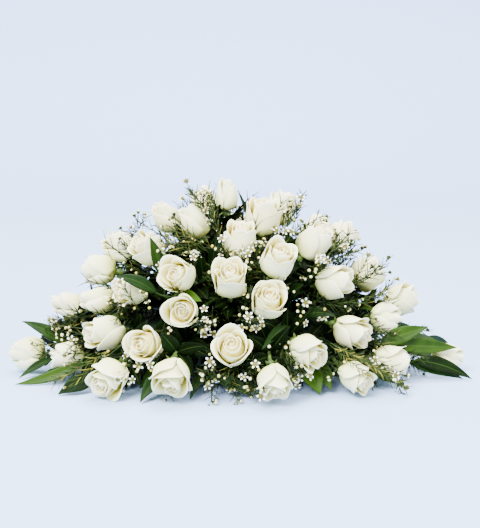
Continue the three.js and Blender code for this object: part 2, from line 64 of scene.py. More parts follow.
def linear(sheet_colour, alpha=1.0):
    """An sRGB hex colour as the linear values that a shader takes."""
    parts = [int(sheet_colour[i:i + 2], 16) / 255 for i in (1, 3, 5)]
    return [p / 12.92 if p <= 0.04045 else ((p + 0.055) / 1.055) ** 2.4 for p in parts] + [alpha]


def plug(tree, made, inputs):
    """Fills a shader node's inputs, or links them where a value is another node's output."""
    for key, value in inputs.items():
        if isinstance(value, bpy.types.NodeSocket):
            tree.links.new(value, made.inputs[key])
        else:
            made.inputs[key].default_value = value


def finish(name, sockets):
    """A new material with a principled surface, its sockets set: the tree and the shader come back too."""
    material = bpy.data.materials.new(name)
    material.use_nodes = True
    tree = material.node_tree
    surface = tree.nodes["Principled BSDF"]
    plug(tree, surface, sockets)
    return material, tree, surface


def put(name, mesh, materials):
    """Makes an object of a finished bmesh and its materials, its seams and poles closed."""
    bmesh.ops.remove_doubles(mesh, verts=mesh.verts, dist=1e-6)
    data = bpy.data.meshes.new(name)
    mesh.to_mesh(data)
    mesh.free()
    for material in materials:
        data.materials.append(material)
    piece = bpy.data.objects.new(name, data)
    bpy.context.collection.objects.link(piece)
    return piece


sweep = bmesh.new()
bmesh.ops.create_grid(sweep, x_segments=4, y_segments=60, size=1)
for corner in sweep.verts:
    along = (corner.co.y + 1) * PAPER_LENGTH / 2 - PAPER_FRONT
    turn = min(max(along - PAPER_RISE, 0), PAPER_BEND) / PAPER_BEND * math.pi / 2
    flat = min(along, PAPER_RISE)
    radius = PAPER_BEND / (math.pi / 2)
    up = max(along - PAPER_RISE - PAPER_BEND, 0)
    corner.co = Vector((
        corner.co.x * PAPER_REACH,
        flat + radius * math.sin(turn),
        radius * (1 - math.cos(turn)) + up,
    ))
for face in sweep.faces:
    face.smooth = True
# uncoated paper: matt and even, with no shine
paper_finish, tree, surface = finish("seamless background paper", {
    "Base Color": linear(PAPER), "Roughness": 0.9, "Specular IOR Level": 0.2,
})
put("paper_sweep", sweep, [paper_finish])

# a pale room, which lights the shadows
world = bpy.data.worlds.new("pale studio")
bpy.context.scene.world = world
world.use_nodes = True
world.node_tree.nodes["Background"].inputs["Color"].default_value = linear("#fbfaf6")
world.node_tree.nodes["Background"].inputs["Strength"].default_value = AMBIENT

# each soft box's place, the point that it faces, its width in metres and its power
for name, place, target, size, watts in (
    ("soft_box_key", (-1.5, -2.3, 3.1), (0, 0.2, 0.1), 1.7, 560),
    ("soft_box_right", (1.9, -1.2, 1.5), (0, 0, 0.12), 1.3, 70),
    ("soft_box_top", (0, 0.7, 2.9), (0, 0.4, 0.0), 2.4, 280),
):
    lamp = bpy.data.lights.new(name, "AREA")
    lamp.energy = watts
    lamp.size = size
    holder = bpy.data.objects.new(name, lamp)
    bpy.context.collection.objects.link(holder)
    holder.location = place
    holder.rotation_euler = (Vector(target) - Vector(place)).to_track_quat("-Z", "Y").to_euler()

lens = bpy.data.cameras.new("camera")
lens.sensor_width = SENSOR
lens.lens = SENSOR * FOCAL / PHOTO_HEIGHT
camera = bpy.data.objects.new("camera", lens)
bpy.context.collection.objects.link(camera)
camera.location = AIM + CAMERA_FAR * Vector((0, -math.cos(CAMERA_TILT), math.sin(CAMERA_TILT)))
camera.rotation_euler = (AIM - camera.location).to_track_quat("-Z", "Y").to_euler()
bpy.context.scene.camera = camera


# Tray
# A shallow tub of dark green polypropylene, injection moulded, with a turned-out rim. It shows only at the
# ends and underneath, where the leaves part.

TRAY_LENGTH = 440
TRAY_WIDTH = 130
TRAY_HEIGHT = 34
TRAY_FLOOR = 2.6


def node(tree, kind, settings=None, inputs=None, stops=(), out=0):
    """Adds a shader node, sets it up, plugs it in and lays colours along its ramp: an output comes back."""
    made = tree.nodes.new("ShaderNode" + kind)
    for key, value in (settings or {}).items():
        setattr(made, key, value)
    plug(tree, made, inputs or {})
    for end in (0, -1) if stops else ():
        made.color_ramp.elements[end].position = stops[end][0]
        made.color_ramp.elements[end].color = linear(stops[end][1])
    for spot, colour in stops[1:-1]:
        made.color_ramp.elements.new(spot).color = linear(colour)
    return made.outputs[out]


# polypropylene: a soft sheen over a green that is slightly mottled, in patches about 17 mm across
tray_finish, tree, surface = finish("moulded green polypropylene", {"Roughness": 0.42, "IOR": 1.49})
on_tray = node(tree, "TexCoord", out="Object")
mottle = node(tree, "TexNoise", inputs={"Vector": on_tray, "Scale": 60.0, "Detail": 3.0})
tray_tone = node(tree, "Mix", {"data_type": "RGBA"}, {
    0: mottle, 6: linear("#12231a"), 7: linear("#1a2f22"),
}, out=2)
# the fine spark-eroded grain of the mould, drawn at 1.2 mm so that it shows
grain = node(tree, "TexNoise", inputs={"Vector": on_tray, "Scale": 800.0, "Detail": 1.0})
dents = node(tree, "Bump", inputs={"Height": grain, "Strength": 0.12, "Distance": 0.0002})
plug(tree, surface, {"Base Color": tray_tone, "Normal": dents})


def recoat(name, material):
    """Gives one of the solids a material of its own."""
    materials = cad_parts[name].data.materials
    materials.clear()
    materials.append(material)


recoat("tray", tray_finish)


# Foam block
# Phenolic wet foam, cut from a bar and soaked. Its cut faces are dark green, matt and finely pitted, with
# the marks of the wire.

FOAM = {"length": 424, "width": 114, "height": 80}
SEAT_GAP = 0.35  # over the floor of the tray
FOAM_TOP = TRAY_FLOOR + SEAT_GAP + FOAM["height"]

# soaked foam: dull, darker where more water stands, in patches about 30 mm across
foam_finish, tree, surface = finish("wet phenolic foam", {"Roughness": 0.93, "Specular IOR Level": 0.15})
on_foam = node(tree, "TexCoord", out="Object")
soak = node(tree, "TexNoise", inputs={"Vector": on_foam, "Scale": 35.0, "Detail": 4.0})
wet = node(tree, "ValToRGB", inputs={"Fac": soak}, stops=((0.3, "#0c1a10"), (0.7, "#182e1d")))
# its open cells, drawn at 1.5 mm so that they show
cells = node(tree, "TexVoronoi", inputs={"Vector": on_foam, "Scale": 650.0})
pits = node(tree, "Bump", inputs={"Height": cells, "Strength": 0.6, "Distance": 0.0008})
plug(tree, surface, {"Base Color": wet, "Normal": pits})
recoat("foam_block", foam_finish)


# Rose heads
# White florist's roses with a cream heart, cut half open. Each head is a spiral of soft living petals, tight
# in the heart and with rolled-back lips outside, and it sits on the green cup of its stem.

# each head's middle, the degrees that it faces to the right of the viewer and above level, its greatest
# radius, its length, and how far it is open, from 0 to 1
ROSES = [
    ("crown_bud", -22, 10, 290, 0, 86, 19, 57, 0.3),
    ("crown_back_left", -58, 62, 266, -150, 55, 25, 58, 0.5),
    ("crown_left", -77, 8, 246, -105, 60, 26, 64, 0.3),
    ("crown_front", 0, -62, 229, 15, 78, 30, 62, 0.6),
    ("crown_right", 36, -2, 256, 40, 80, 31, 68, 0.7),
    ("crown_back_right", 70, 64, 258, 120, 62, 27, 64, 0.6),
    ("crown_back", 14, 112, 208, 176, 42, 29, 62, 0.8),
    ("left_top", -125, 48, 246, -70, 52, 26, 62, 0.3),
    ("left_shoulder", -152, -28, 207, -62, 34, 29, 64, 0.7),
    ("left_outer", -205, 36, 197, -75, 42, 27, 62, 0.4),
    ("left_nodding", -236, 14, 160, -95, 4, 27, 62, 0.5),
    ("left_middle", -178, -62, 144, -52, 10, 25, 60, 0.7),
    ("left_bud_in", -235, -32, 121, -86, 5, 25, 64, 0.1),
    ("left_bud_out", -291, 36, 96, -90, 14, 22, 66, 0.3),
    ("right_shoulder", 124, -26, 218, 80, 48, 30, 68, 0.5),
    ("right_top", 169, 48, 212, 105, 46, 27, 62, 0.6),
    ("right_back", 128, 112, 205, 155, 42, 28, 62, 0.7),
    ("right_middle", 154, -66, 159, 70, 12, 29, 66, 0.6),
    ("right_round", 213, 32, 154, 105, 38, 29, 62, 0.6),
    ("right_outer", 270, 14, 113, 84, 24, 28, 62, 0.7),
    ("right_facing", 180, -108, 86, 60, -12, 28, 64, 0.7),
    ("right_bud", 239, -48, 96, 80, 6, 28, 54, 0.1),
    ("front_high_right", 60, -104, 203, 30, 52, 30, 64, 0.7),
    ("front_high_left", -97, -106, 177, -32, 24, 27, 60, 0.9),
    ("front_centre", -15, -120, 176, 2, 52, 28, 70, 0.9),
    ("front_mid_right", 45, -140, 144, 14, 44, 29, 60, 0.9),
    ("front_mid_left", -88, -146, 130, -12, 14, 25, 60, 1),
    ("front_low_left", -147, -152, 78, -24, 16, 28, 60, 1),
    ("front_low_centre", -12, -186, 79, -4, 34, 28, 60, 1),
    ("front_low_right", 107, -164, 71, 42, -14, 28, 60, 0.7),
    ("left_cheek", -220, -95, 82, -58, 2, 30, 70, 0.6),
    ("end_left", -351, -40, 31, -88, 0, 30, 64, 0.2),
    ("ground_left_end", -281, -76, 34, -75, -2, 27, 62, 0.4),
    ("ground_left", -203, -188, 33, -35, -26, 28, 62, 0.9),
    ("ground_mid_left", -105, -212, 40, -8, -42, 31, 58, 0.9),
    ("ground_mid_right", 53, -220, 36, 14, -44, 27, 54, 0.8),
    ("ground_right", 182, -172, 29, 46, -20, 25, 60, 0.8),
    ("ground_right_end", 244, -100, 35, 80, -5, 29, 66, 0.7),
    ("end_right", 344, -38, 27, 85, 0, 25, 56, 0.2),
    ("back_left", -178, 150, 60, -145, 2, 29, 62, 0.8),
    ("back_middle", -8, 190, 62, 178, 4, 31, 62, 0.9),
    ("back_right", 168, 152, 62, 142, 2, 29, 62, 0.8),
    ("back_high_left", -96, 136, 142, -158, 24, 29, 62, 0.9),
    ("back_high_right", 84, 150, 140, 156, 22, 29, 62, 0.9),
]
MM = 0.001
FULL_TURN = 6.28  # radians
HEAD_SPIN = 2.4  # radians from one head to the next, so that no two stand alike
ASIDE_SPIN = 1.7  # and from the way that one heart leans to the next
GOLDEN_TURN = math.radians(137.5)  # from one petal to the next
PETALS = 13
HEART_PETALS = 7  # of these, packed in the middle
HEART_FILL = (1.5, 3.5, 5.5)  # smaller ones folded in between those
LOW_PETALS = 3  # the outermost, which end lower on a head seen from the side
RIM_DROP = 0.055  # how much lower each of them ends than the one before, as a share of the head
SIDE_ON = 0.62  # a head that faces the viewer with less than this cosine is seen from the side
PETAL_THICKNESS = 0.5
GROUND = 0.9  # nothing but the tray comes lower than this
UP = Vector((0, 0, 1))


def square(along):
    """Two directions square to a third."""
    side = UP.cross(along)
    if side.length < 0.05:
        side = Vector((1, 0, 0))
    side.normalize()
    return side, along.cross(side).normalized()


def around(centre, side, lift, angle, r=1.0):
    """The point at distance r from a centre, turned by an angle from side to lift."""
    return centre + side * (r * math.cos(angle)) + lift * (r * math.sin(angle))


def to_viewer(y, half_way):
    """The way to someone who looks at this y from before the spray, or from behind past half way."""
    return Vector((0, -0.98 if y < half_way else 0.98, 0.2))


def rose_from_row(index, row):
    """A rose's measures by name, with the foot of its petals and the turn that it starts from."""
    name, x, y, z, turn, tilt, radius, length, opened = row
    turn, tilt = math.radians(turn), math.radians(tilt)
    facing = Vector((math.sin(turn) * math.cos(tilt), -math.cos(turn) * math.cos(tilt), math.sin(tilt)))
    middle = Vector((x, y, z))
    return {
        "name": name, "middle": middle, "facing": facing, "base": middle - facing * length / 2,
        "radius": radius, "length": length, "open": opened, "spin": index * HEAD_SPIN, "index": index,
    }


roses = [rose_from_row(index, row) for index, row in enumerate(ROSES)]


def rose_places(rose):
    """Points of a rose from its own axis: angle, distance from the axis, height above its base."""
    side, lift = square(rose["facing"])

    def at(angle, r, h):
        return around(rose["base"], side, lift, angle + rose["spin"], r) + rose["facing"] * h

    return at


flat_sheets = {}


def lay_sheet(mesh, across, along, place, shade=0.0, material=0):
    """Adds a sheet of faces to mesh, each corner put where place(u, v) says, in millimetres."""
    if (across, along) not in flat_sheets:
        flat = bmesh.new()
        bmesh.ops.create_grid(flat, x_segments=across, y_segments=along, size=0.5)
        flat_sheets[across, along] = flat
    flat = flat_sheets[across, along]
    uv = mesh.loops.layers.uv.verify()
    shades = mesh.verts.layers.float.get("shade") or mesh.verts.layers.float.new("shade")
    spots = {}
    for corner in flat.verts:
        u, v = corner.co.x + 0.5, corner.co.y + 0.5
        point = place(u, v)
        point.z = max(point.z, GROUND)
        spot = mesh.verts.new(point * MM)
        spot[shades] = shade
        spots[corner] = (spot, (u, v))
    for face in flat.faces:
        laid = mesh.faces.new([spots[corner][0] for corner in face.verts])
        laid.smooth = True
        laid.material_index = material
        for loop, corner in zip(laid.loops, face.verts):
            loop[uv].uv = spots[corner][1]


def ease(x):
    """A smooth step from 0 to 1."""
    x = min(max(x, 0.0), 1.0)
    return x * x * (3 - 2 * x)


def petal_twist(rose, draw):
    """The turn of a head on its stem: one seen from the side shows where its outer petals lap."""
    viewer = to_viewer(rose["middle"].y, 60)
    if rose["facing"].dot(viewer) > SIDE_ON:
        return 0.0
    side, lift = square(rose["facing"])
    seen = math.atan2(viewer.dot(lift), viewer.dot(side)) - rose["spin"]
    return seen - (PETALS - 1) * GOLDEN_TURN + draw.choice((-1, 1)) * draw.uniform(0.75, 1.05)


def lay_petal(mesh, rose, at, k, twist, low, draw):
    """One cupped petal, the k-th out from the heart, its lip rolled back and its rim at share low.

    Its u runs across it, and its v from its foot to its lip.
    """
    R, L, opened = rose["radius"], rose["length"], rose["open"]
    closed = 1 - opened
    out = k / (PETALS - 1)  # 0 at the heart, 1 outside
    turn = k * GOLDEN_TURN + twist + draw.uniform(-0.35, 0.35) * min((PETALS - 1 - k) / 3, 1)
    half = 2.0 - 0.8 * out ** 0.6  # how far it wraps to each side, radians
    packed = 0.1 + 0.07 * k if k < HEART_PETALS else 0.66 + 0.058 * (k - HEART_PETALS)
    widest = R * packed * draw.uniform(0.97, 1.02)
    mouth = widest * (0.94 - 0.58 * closed ** 1.3 + 0.10 * out * opened + draw.uniform(-0.04, 0.06) * out)
    rise = 0.96 - 0.16 * closed * (1 - out) - 0.09 * opened * (1 - out) ** 2 - 0.11 * opened * out ** 1.3
    height = L * rise * low * draw.uniform(0.97, 1.02)
    flare = draw.uniform(0.6, 1.15) + 0.5 * draw.random() ** 4
    roll = R * (0.03 + 0.15 * opened) * (0.2 if k < HEART_PETALS else 0.3 + 0.7 * out) * min(k, 1) * flare
    tip = draw.uniform(0.016, 0.096) * (0.3 + out)
    lean = draw.uniform(-0.12, 0.12)
    wave = draw.uniform(0, FULL_TURN)
    lap = (0.06 + 0.04 * out) * R
    shoulder = 0.14 + 0.26 * out
    belly_at = 0.55 - 0.08 * out
    aside = (at(rose["index"] * ASIDE_SPIN, 1, 0) - at(0, 0, 0)).normalized()
    off_centre = 0.14 * opened * (1 - out)  # the heart sits a little off the middle
    ruffle = draw.uniform(0.0, 0.035) * opened if 0 < k < HEART_PETALS else 0.0
    foot = 0.16 * R

    def place(u, v):
        s = 2 * u - 1
        belly = math.sin(min(v / belly_at, 1) * math.pi / 2)
        angle = turn + s * half * (0.45 + 0.55 * belly) + lean * v
        # its rim is rounded, with a small point in the middle
        crown = 1 - shoulder * abs(s) ** 2.2 - 0.12 * abs(s) ** 7 + tip * math.exp(-((s / 0.25) ** 2))
        h = height * v * crown
        # it widens from its foot to its belly, and draws in to its mouth
        r = foot + (widest - foot) * belly ** 0.6
        r += (mouth - widest) * ease((v * low - 0.5) / 0.5)
        # its lip rolls back
        curl = max(0.0, (v - 0.62) / 0.38)
        r += roll * curl ** 2 * (1.15 - 0.6 * s * s)
        h -= roll * 0.8 * curl ** 3 * (0.3 + 0.7 * out)
        # one edge lies over its neighbour and the other under, and both bend in at the lip
        r += lap * s * (0.3 + 0.7 * v) - 0.1 * R * out * abs(s) ** 3 * v * v
        # slow waves along the lip, and finer ones in the heart
        r += 0.045 * R * (0.3 + 0.7 * out) * math.sin(4 * s + wave) * v ** 3
        h += 0.015 * L * math.sin(5 * s + 2 * wave) * v ** 4
        r += ruffle * R * math.sin(8 * s + 3 * wave) * v ** 6
        return at(angle, r, h) + aside * (off_centre * R * v * v)

    across, along = (14, 8) if k < HEART_PETALS else (12, 12)
    lay_sheet(mesh, across, along, place, out)


def lay_heart(mesh, rose, at):
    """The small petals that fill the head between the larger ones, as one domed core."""
    R, L, opened = rose["radius"], rose["length"], rose["open"]
    wide = R * (0.22 + 0.5 * opened)
    # shares of the width and of the length, from the foot up
    profile = ((0.0, 0.1), (0.7, 0.2), (1.0, 0.4), (0.9, 0.54), (0.6, 0.65), (0.3, 0.72), (0.0, 0.74))
    rows = len(profile) - 1

    def core(u, v):
        r, h = profile[round(v * rows)]
        return at(2 * math.pi * u, r * wide, h * L * (0.92 + 0.1 * opened))

    lay_sheet(mesh, 12, rows, core, 0.0)


def thicken(piece, name, thickness, offset=0, inner_slot=0):
    """Gives a piece made of flat sheets its thickness, in millimetres."""
    layer = piece.modifiers.new(name, "SOLIDIFY")
    layer.thickness = thickness * MM
    layer.offset = offset
    layer.material_offset = inner_slot


# rose petals: thin, soft and slightly see-through, so light gathers in them. Outside they are near white
# over a greenish base; inside, where they face the heart, they are golden cream up to a white lip, the cream
# real and its dark gold at the foot painted shade in the gaps between the petals. Each tone is given along
# the petal, from its base to its lip, first for the heart and then for the outer petals.
PETAL_TONES = {
    "rose petal, outside": (
        ((0.0, "#c9b944"), (0.8, "#e9df8e"), (0.94, "#f8f2bf"), (1.0, "#fefcdf")),
        ((0.0, "#a5b048"), (0.2, "#d6dc8a"), (0.55, "#eff0b4"), (1.0, "#fbfbd2")),
    ),
    # real cream, deepened at the foot to a dark gold that is painted shade in the gaps between the petals
    "rose petal, inside": (
        ((0.0, "#a38810"), (0.84, "#c4a52e"), (0.95, "#dfc85e"), (0.985, "#f7efb8"), (1.0, "#fefcdf")),
        ((0.0, "#a8951f"), (0.62, "#d2c45e"), (0.82, "#ebe49a"), (0.93, "#f9f6ca"), (1.0, "#fdfcd8")),
    ),
}
petal_finishes = []
for name, tones in PETAL_TONES.items():
    petal_finish, tree, surface = finish(name, {
        "Roughness": 0.6, "Specular IOR Level": 0.15, "Subsurface Weight": 0.2,
        "Subsurface Radius": (1.0, 0.95, 0.6), "Subsurface Scale": 0.002,
    })
    petal_uv = node(tree, "UVMap")
    up_petal = node(tree, "SeparateXYZ", inputs={"Vector": petal_uv}, out="Y")
    heart_tone, outer_tone = (
        node(tree, "ValToRGB", inputs={"Fac": up_petal}, stops=stops) for stops in tones
    )
    depth = node(tree, "Attribute", {"attribute_name": "shade"}, out="Fac")
    from_heart = node(tree, "MapRange", inputs={"Value": depth, "From Min": 0.1, "From Max": 0.75})
    petal_tone = node(tree, "Mix", {"data_type": "RGBA"}, {
        0: from_heart, 6: heart_tone, 7: outer_tone,
    }, out=2)
    # veins fan up the petal, about 1.4 mm apart on the outer ones and closer in the heart
    vein_place = node(tree, "VectorMath", {"operation": "MULTIPLY"}, {0: petal_uv, 1: (46, 2.2, 1)})
    veins = node(tree, "TexNoise", inputs={"Vector": vein_place, "Scale": 1.0, "Detail": 2.0})
    petal_ribs = node(tree, "Bump", inputs={"Height": veins, "Strength": 0.2, "Distance": 0.0004})
    plug(tree, surface, {"Base Color": petal_tone, "Normal": petal_ribs})
    petal_finishes.append(petal_finish)

for rose in roses:
    draw = random.Random(rose["index"])
    head = bmesh.new()
    at = rose_places(rose)
    loose = random.Random("twist " + rose["name"])
    twist = petal_twist(rose, loose)
    for k in range(PETALS):
        low = 1
        if twist:
            low -= RIM_DROP * max(k - (PETALS - 1 - LOW_PETALS), 0) * loose.uniform(0.6, 1.2)
        lay_petal(head, rose, at, k, twist, low, draw)
    for k in HEART_FILL:
        lay_petal(head, rose, at, k, twist, 1, loose)
    lay_heart(head, rose, at)
    petals = put("petals_" + rose["name"], head, petal_finishes)
    thicken(petals, "petal thickness", PETAL_THICKNESS, -1, 1)
    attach(petals, "root")
    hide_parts("rose_" + rose["name"])


# Rose stems
# Green stems, about 5 mm thick, cut on a slant and pushed into the foam. Each swells into the cup that
# holds the head, with five narrow sepals that turn down from its rim.

STEM = 2.7  # radius
HEAD_GAP = 0.7  # from the cup to the petals
CUP_DEPTH = 15
SEPALS = 5
SEPAL_FOOT = 6.2  # from the axis of the head
SEPAL_REACH = 15.5
KNOT_HEIGHT = 50
KNOTS = {"far_left": -160, "left": -54, "right": 54, "far_right": 160}
OVER_RIM = TRAY_HEIGHT + 12  # a stem leaves the foam no lower than this
FACE_DEPTH = 70  # how far before a head a thing hides its open face
FACE_RIM = 4  # and how far outside its petals


def clear_of_roses(point, room, own=None):
    """Pushes a point out of every rose head but one, with room to spare."""
    p = point.copy()
    for _ in range(2):
        for rose in roses:
            if rose is own:
                continue
            out = p - rose["middle"]
            along = out.dot(rose["facing"])
            across = math.sqrt(max(out.length_squared - along * along, 0))
            f = math.hypot(along / (rose["length"] / 2 + room), across / (rose["radius"] * 1.04 + room))
            if f < 1:
                p = rose["middle"] + out / max(f, 0.05)
    return p


def hides(point):
    """Whether a point stands before the open face of a rose."""
    for rose in roses:
        out = point - rose["middle"]
        along = out.dot(rose["facing"])
        aside = out.length_squared - along * along
        if 0 < along < FACE_DEPTH and aside < (rose["radius"] + FACE_RIM) ** 2:
            return True
    return False


def route(path, room, own=None, held=1):
    """Bends a path round the rose heads, its first points held."""
    bent = [p.copy() for p in path]
    for turn in range(4):
        for i in range(held, len(bent) - 1):
            between = (bent[i - 1] + bent[i + 1]) / 2
            bent[i] = clear_of_roses(bent[i].lerp(between, 0.35 if turn < 3 else 0), room, own)
    return bent


def comes_out(foot, towards):
    """Where a stem from a foot in the foam comes out of the block, with a little to spare."""
    way = (towards - foot).normalized()
    spare = 5
    reach = [
        (FOAM["length"] / 2 + spare - math.copysign(1, way.x) * foot.x) / max(abs(way.x), 1e-6),
        (FOAM["width"] / 2 + spare - math.copysign(1, way.y) * foot.y) / max(abs(way.y), 1e-6),
        (FOAM_TOP + spare - foot.z) / way.z if way.z > 0.05 else math.inf,
    ]
    return foot + way * min(reach)


def smooth_path(stops, steps):
    """A smooth curve through the stops, steps points from each to the next."""
    ends = [stops[0] * 2 - stops[1], *stops, stops[-1] * 2 - stops[-2]]
    path = []
    for i in range(1, len(ends) - 2):
        a, b, c, d = ends[i - 1:i + 3]
        for k in range(steps):
            t = k / steps
            path.append(0.5 * (2 * b + (c - a) * t + (2 * a - 5 * b + 4 * c - d) * t * t
                               + (3 * b - a - 3 * c + d) * t ** 3))
    return [*path, stops[-1].copy()]


def lay_stem(mesh, path, thick, sides=6, shade=0.0, material=0):
    """A round stem along a path: thick(t) is its radius at share t of the path, and it ends in a point."""
    last = len(path) - 1
    frames = []
    for i, point in enumerate(path):
        way = (path[min(i + 1, last)] - path[max(i - 1, 0)]).normalized()
        frames.append((point, *square(way)))

    def place(u, v):
        row = round(v * (last + 2))
        r = 0 if row in (0, last + 2) else thick((row - 1) / last)
        return around(*frames[min(max(row - 1, 0), last)], -2 * math.pi * u, r)

    lay_sheet(mesh, sides, last + 2, place, shade, material)


# green bark: smooth, with a soft shine, its green flecked light and dark about every 11 mm
stem_finish, tree, surface = finish("rose stem", {"Roughness": 0.48, "Specular IOR Level": 0.4})
on_stem = node(tree, "TexCoord", out="Object")
flecks = node(tree, "TexNoise", inputs={"Vector": on_stem, "Scale": 90.0, "Detail": 4.0})
stem_tone = node(tree, "ValToRGB", inputs={"Fac": flecks}, stops=((0.3, "#1d2e0c"), (0.72, "#4c6626")))
stem_dents = node(tree, "Bump", inputs={"Height": flecks, "Strength": 0.3, "Distance": 0.0006})
plug(tree, surface, {"Base Color": stem_tone, "Normal": stem_dents})


def lay_cup(mesh, at):
    """The green cup under a head, and its sepals."""
    # the share of the way up, and the radius there
    profile = ((0, 0.0), (0.04, STEM), (0.3, STEM * 1.2), (0.55, 6.4), (0.8, 7.4), (0.97, 6.6), (1, 0.0))

    def cup(u, v):
        share, r = profile[round(v * (len(profile) - 1))]
        return at(2 * math.pi * u, r, -CUP_DEPTH - 2 + share * (CUP_DEPTH + 2 - HEAD_GAP))

    lay_sheet(mesh, 10, len(profile) - 1, cup)

    for k in range(SEPALS):
        turn = 2 * math.pi * k / SEPALS

        def sepal(u, v, turn=turn):
            s = 2 * u - 1
            half = 3.6 * (1 - v) ** 0.8 * (0.75 + v) + 0.15
            r = SEPAL_FOOT + (SEPAL_REACH - SEPAL_FOOT) * v
            drop = -HEAD_GAP - 1.2 - 4.2 * v ** 2 - 0.25 * half * s * s
            top = 0.5 if abs(s) < 0.9 else 0.2
            return at(turn + s * half / r, r, drop + top)

        lay_sheet(mesh, 4, 5, sepal)


def nearest_knot(rose):
    """The name of the knot in the foam that a rose's stem starts from."""
    return min(KNOTS, key=lambda name: (rose["base"] - Vector((KNOTS[name], 0, KNOT_HEIGHT))).length)


for name, x in KNOTS.items():
    knot = Vector((x, 0, KNOT_HEIGHT))
    stems = bmesh.new()
    for rose in roses:
        if nearest_knot(rose) != name:
            continue
        foot = rose["base"] - rose["facing"] * CUP_DEPTH
        lead = foot - rose["facing"] * (0.2 * (foot - knot).length)
        high = lead.copy()
        high.z = max(lead.z, OVER_RIM)
        out = comes_out(knot, high)
        stops = route([knot, out, out.lerp(lead, 0.6), foot], STEM + 1.5, rose, 2)
        path = [stops[0], *smooth_path(stops[1:], 5)]
        rose["stem"] = path
        lay_stem(stems, path, lambda t: STEM, 7)
        lay_cup(stems, rose_places(rose))
    bunch = put("stems_" + name, stems, [stem_finish])
    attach(bunch, "root")
    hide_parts("rose_stems_" + name)


# Leafy stems
# Large pointed leaves, leathery and glossy, each folded along its midrib. They grow on arching green stems
# that are pushed into the foam.

# each group's foot in the foam, then for each stem its leaves in order from the foot: the base on the stem,
# the tip, the width, the arch, and how light the green is, from 0 to 1, which is partly the leaf's own green
# and
# partly painted light and shade: lighter where a leaf stands in the light, darker where it lies in shadow
LEAFY_STEMS = {
    "left": ((-198, -30, 68), [
        [((-284, -34, 60), (-356, -44, 88), 22, 4, 0.4), ((-312, -62, 20), (-358, -86, 3), 13, 3, 0.35)],
        [((-232, -116, 42), (-359, -119, 3), 18, -6, 0.7), ((-290, -98, 16), (-326, -78, 3), 13, 3, 0.15)],
        [((-300, 40, 52), (-352, 92, 4), 24, 10, 0.35), ((-326, 26, 30), (-382, 44, 4), 20, 8, 0.3)],
        [((-236, 62, 96), (-300, 104, 84), 24, 10, 0.3), ((-258, 84, 60), (-330, 138, 6), 25, 10, 0.5)],
        [((-170, -64, 96), (-190, -114, 118), 20, 5, 0.1), ((-176, 36, 150), (-188, 88, 178), 24, 5, 0.4)],
        [((-232, -164, 15), (-284, -174, 3), 29, 2, 0.15)],
    ]),
    "right": ((176, -30, 46), [
        [((213, -84, 68), (305, -64, 84), 28, 0, 0.55), ((262, -76, 51), (353, -60, 48), 27, 0, 0.55)],
        [((291, -84, 14), (360, -87, 3), 20, 3, 0.35), ((278, -84, 38), (374, -92, 4), 24, 7, 0.0)],
        [((266, -36, 60), (326, -20, 48), 22, 4, 0.35), ((312, 50, 24), (368, 86, 4), 25, 8, 0.3)],
        [((242, 66, 96), (306, 100, 84), 24, 10, 0.4), ((250, 84, 36), (322, 140, 5), 25, 6, 0.5)],
        [((198, -56, 98), (222, -62, 107), 12, 2, 0.5), ((176, 56, 130), (196, 92, 160), 24, 5, 0.3)],
    ]),
    "front_left": ((-120, -44, 46), [
        [((-118, -146, 49), (-158, -158, 8), 20, 3, 0.6), ((-123, -172, 24), (-153, -216, 3), 23, 5, 0.35)],
        [((-50, -160, 32), (-77, -200, 3), 16, 5, 0.35), ((-37, -172, 27), (22, -190, 3), 20, 5, 0.3)],
        [((-86, -112, 149), (-60, -135, 143), 26, 6, 0.85),
         ((-144, -84, 148), (-199, -90, 172), 21, 7, 0.3)],
        [((-122, -60, 176), (-144, -66, 232), 20, 3, 0.45)],
        [((-56, -70, 156), (-64, -94, 212), 20, 4, 0.1), ((-40, -34, 184), (-36, -52, 236), 18, 3, 0.05)],
        [((-52, -112, 96), (-50, -146, 142), 20, 4, 0.1), ((-92, -140, 66), (-80, -186, 66), 20, 4, 0.05)],
    ]),
    "front_right": ((96, -34, 46), [
        [((73, -136, 43), (107, -148, 22), 24, 3, 0.05), ((114, -146, 38), (125, -179, 4), 33, 4, 0.85)],
        [((126, -142, 37), (143, -166, 8), 26, 4, 0.7)],
        [((216, -140, 24), (264, -132, 3), 18, 4, 0.5)],
        [((60, -136, 110), (34, -190, 80), 18, 4, 0.25), ((112, -118, 122), (150, -152, 122), 16, 6, 0.05)],
        [((40, 30, 180), (-4, 26, 294), 14, 3, 0.3)],
        [((28, -80, 150), (22, -108, 204), 20, 4, 0.05), ((92, -82, 130), (100, -122, 166), 20, 4, 0.05)],
    ]),
    "back": ((-12, 4, 46), [
        [((-62, 160, 26), (-74, 226, 3), 26, 6, 0.5), ((-116, 160, 20), (-150, 214, 3), 27, 6, 0.3)],
        [((52, 160, 26), (62, 226, 3), 27, 6, 0.4), ((112, 164, 20), (142, 214, 3), 26, 6, 0.6)],
        [((-150, 116, 110), (-196, 146, 122), 24, 8, 0.3), ((-222, 112, 36), (-262, 172, 4), 27, 8, 0.5)],
        [((150, 118, 108), (196, 146, 122), 24, 8, 0.4), ((216, 112, 36), (256, 170, 4), 27, 8, 0.6)],
        [((-40, 134, 110), (-30, 184, 112), 24, 8, 0.2), ((36, 130, 160), (58, 172, 186), 22, 6, 0.4)],
        [((-70, 70, 170), (-86, 118, 214), 24, 5, 0.3), ((-20, 60, 190), (-18, 100, 240), 22, 4, 0.5)],
        [((90, 76, 120), (110, 150, 96), 22, 5, 0.2), ((58, 60, 170), (56, 106, 224), 22, 4, 0.4)],
    ]),
}
PETIOLE = 1.5  # radius
LEAF_THICKNESS = 0.6
LEAF_CANT = 0.85  # sine of the most that a blade turns from level
LEAF_CORE = 0.55  # how far along a large leaf the middle of the part that stays in view is


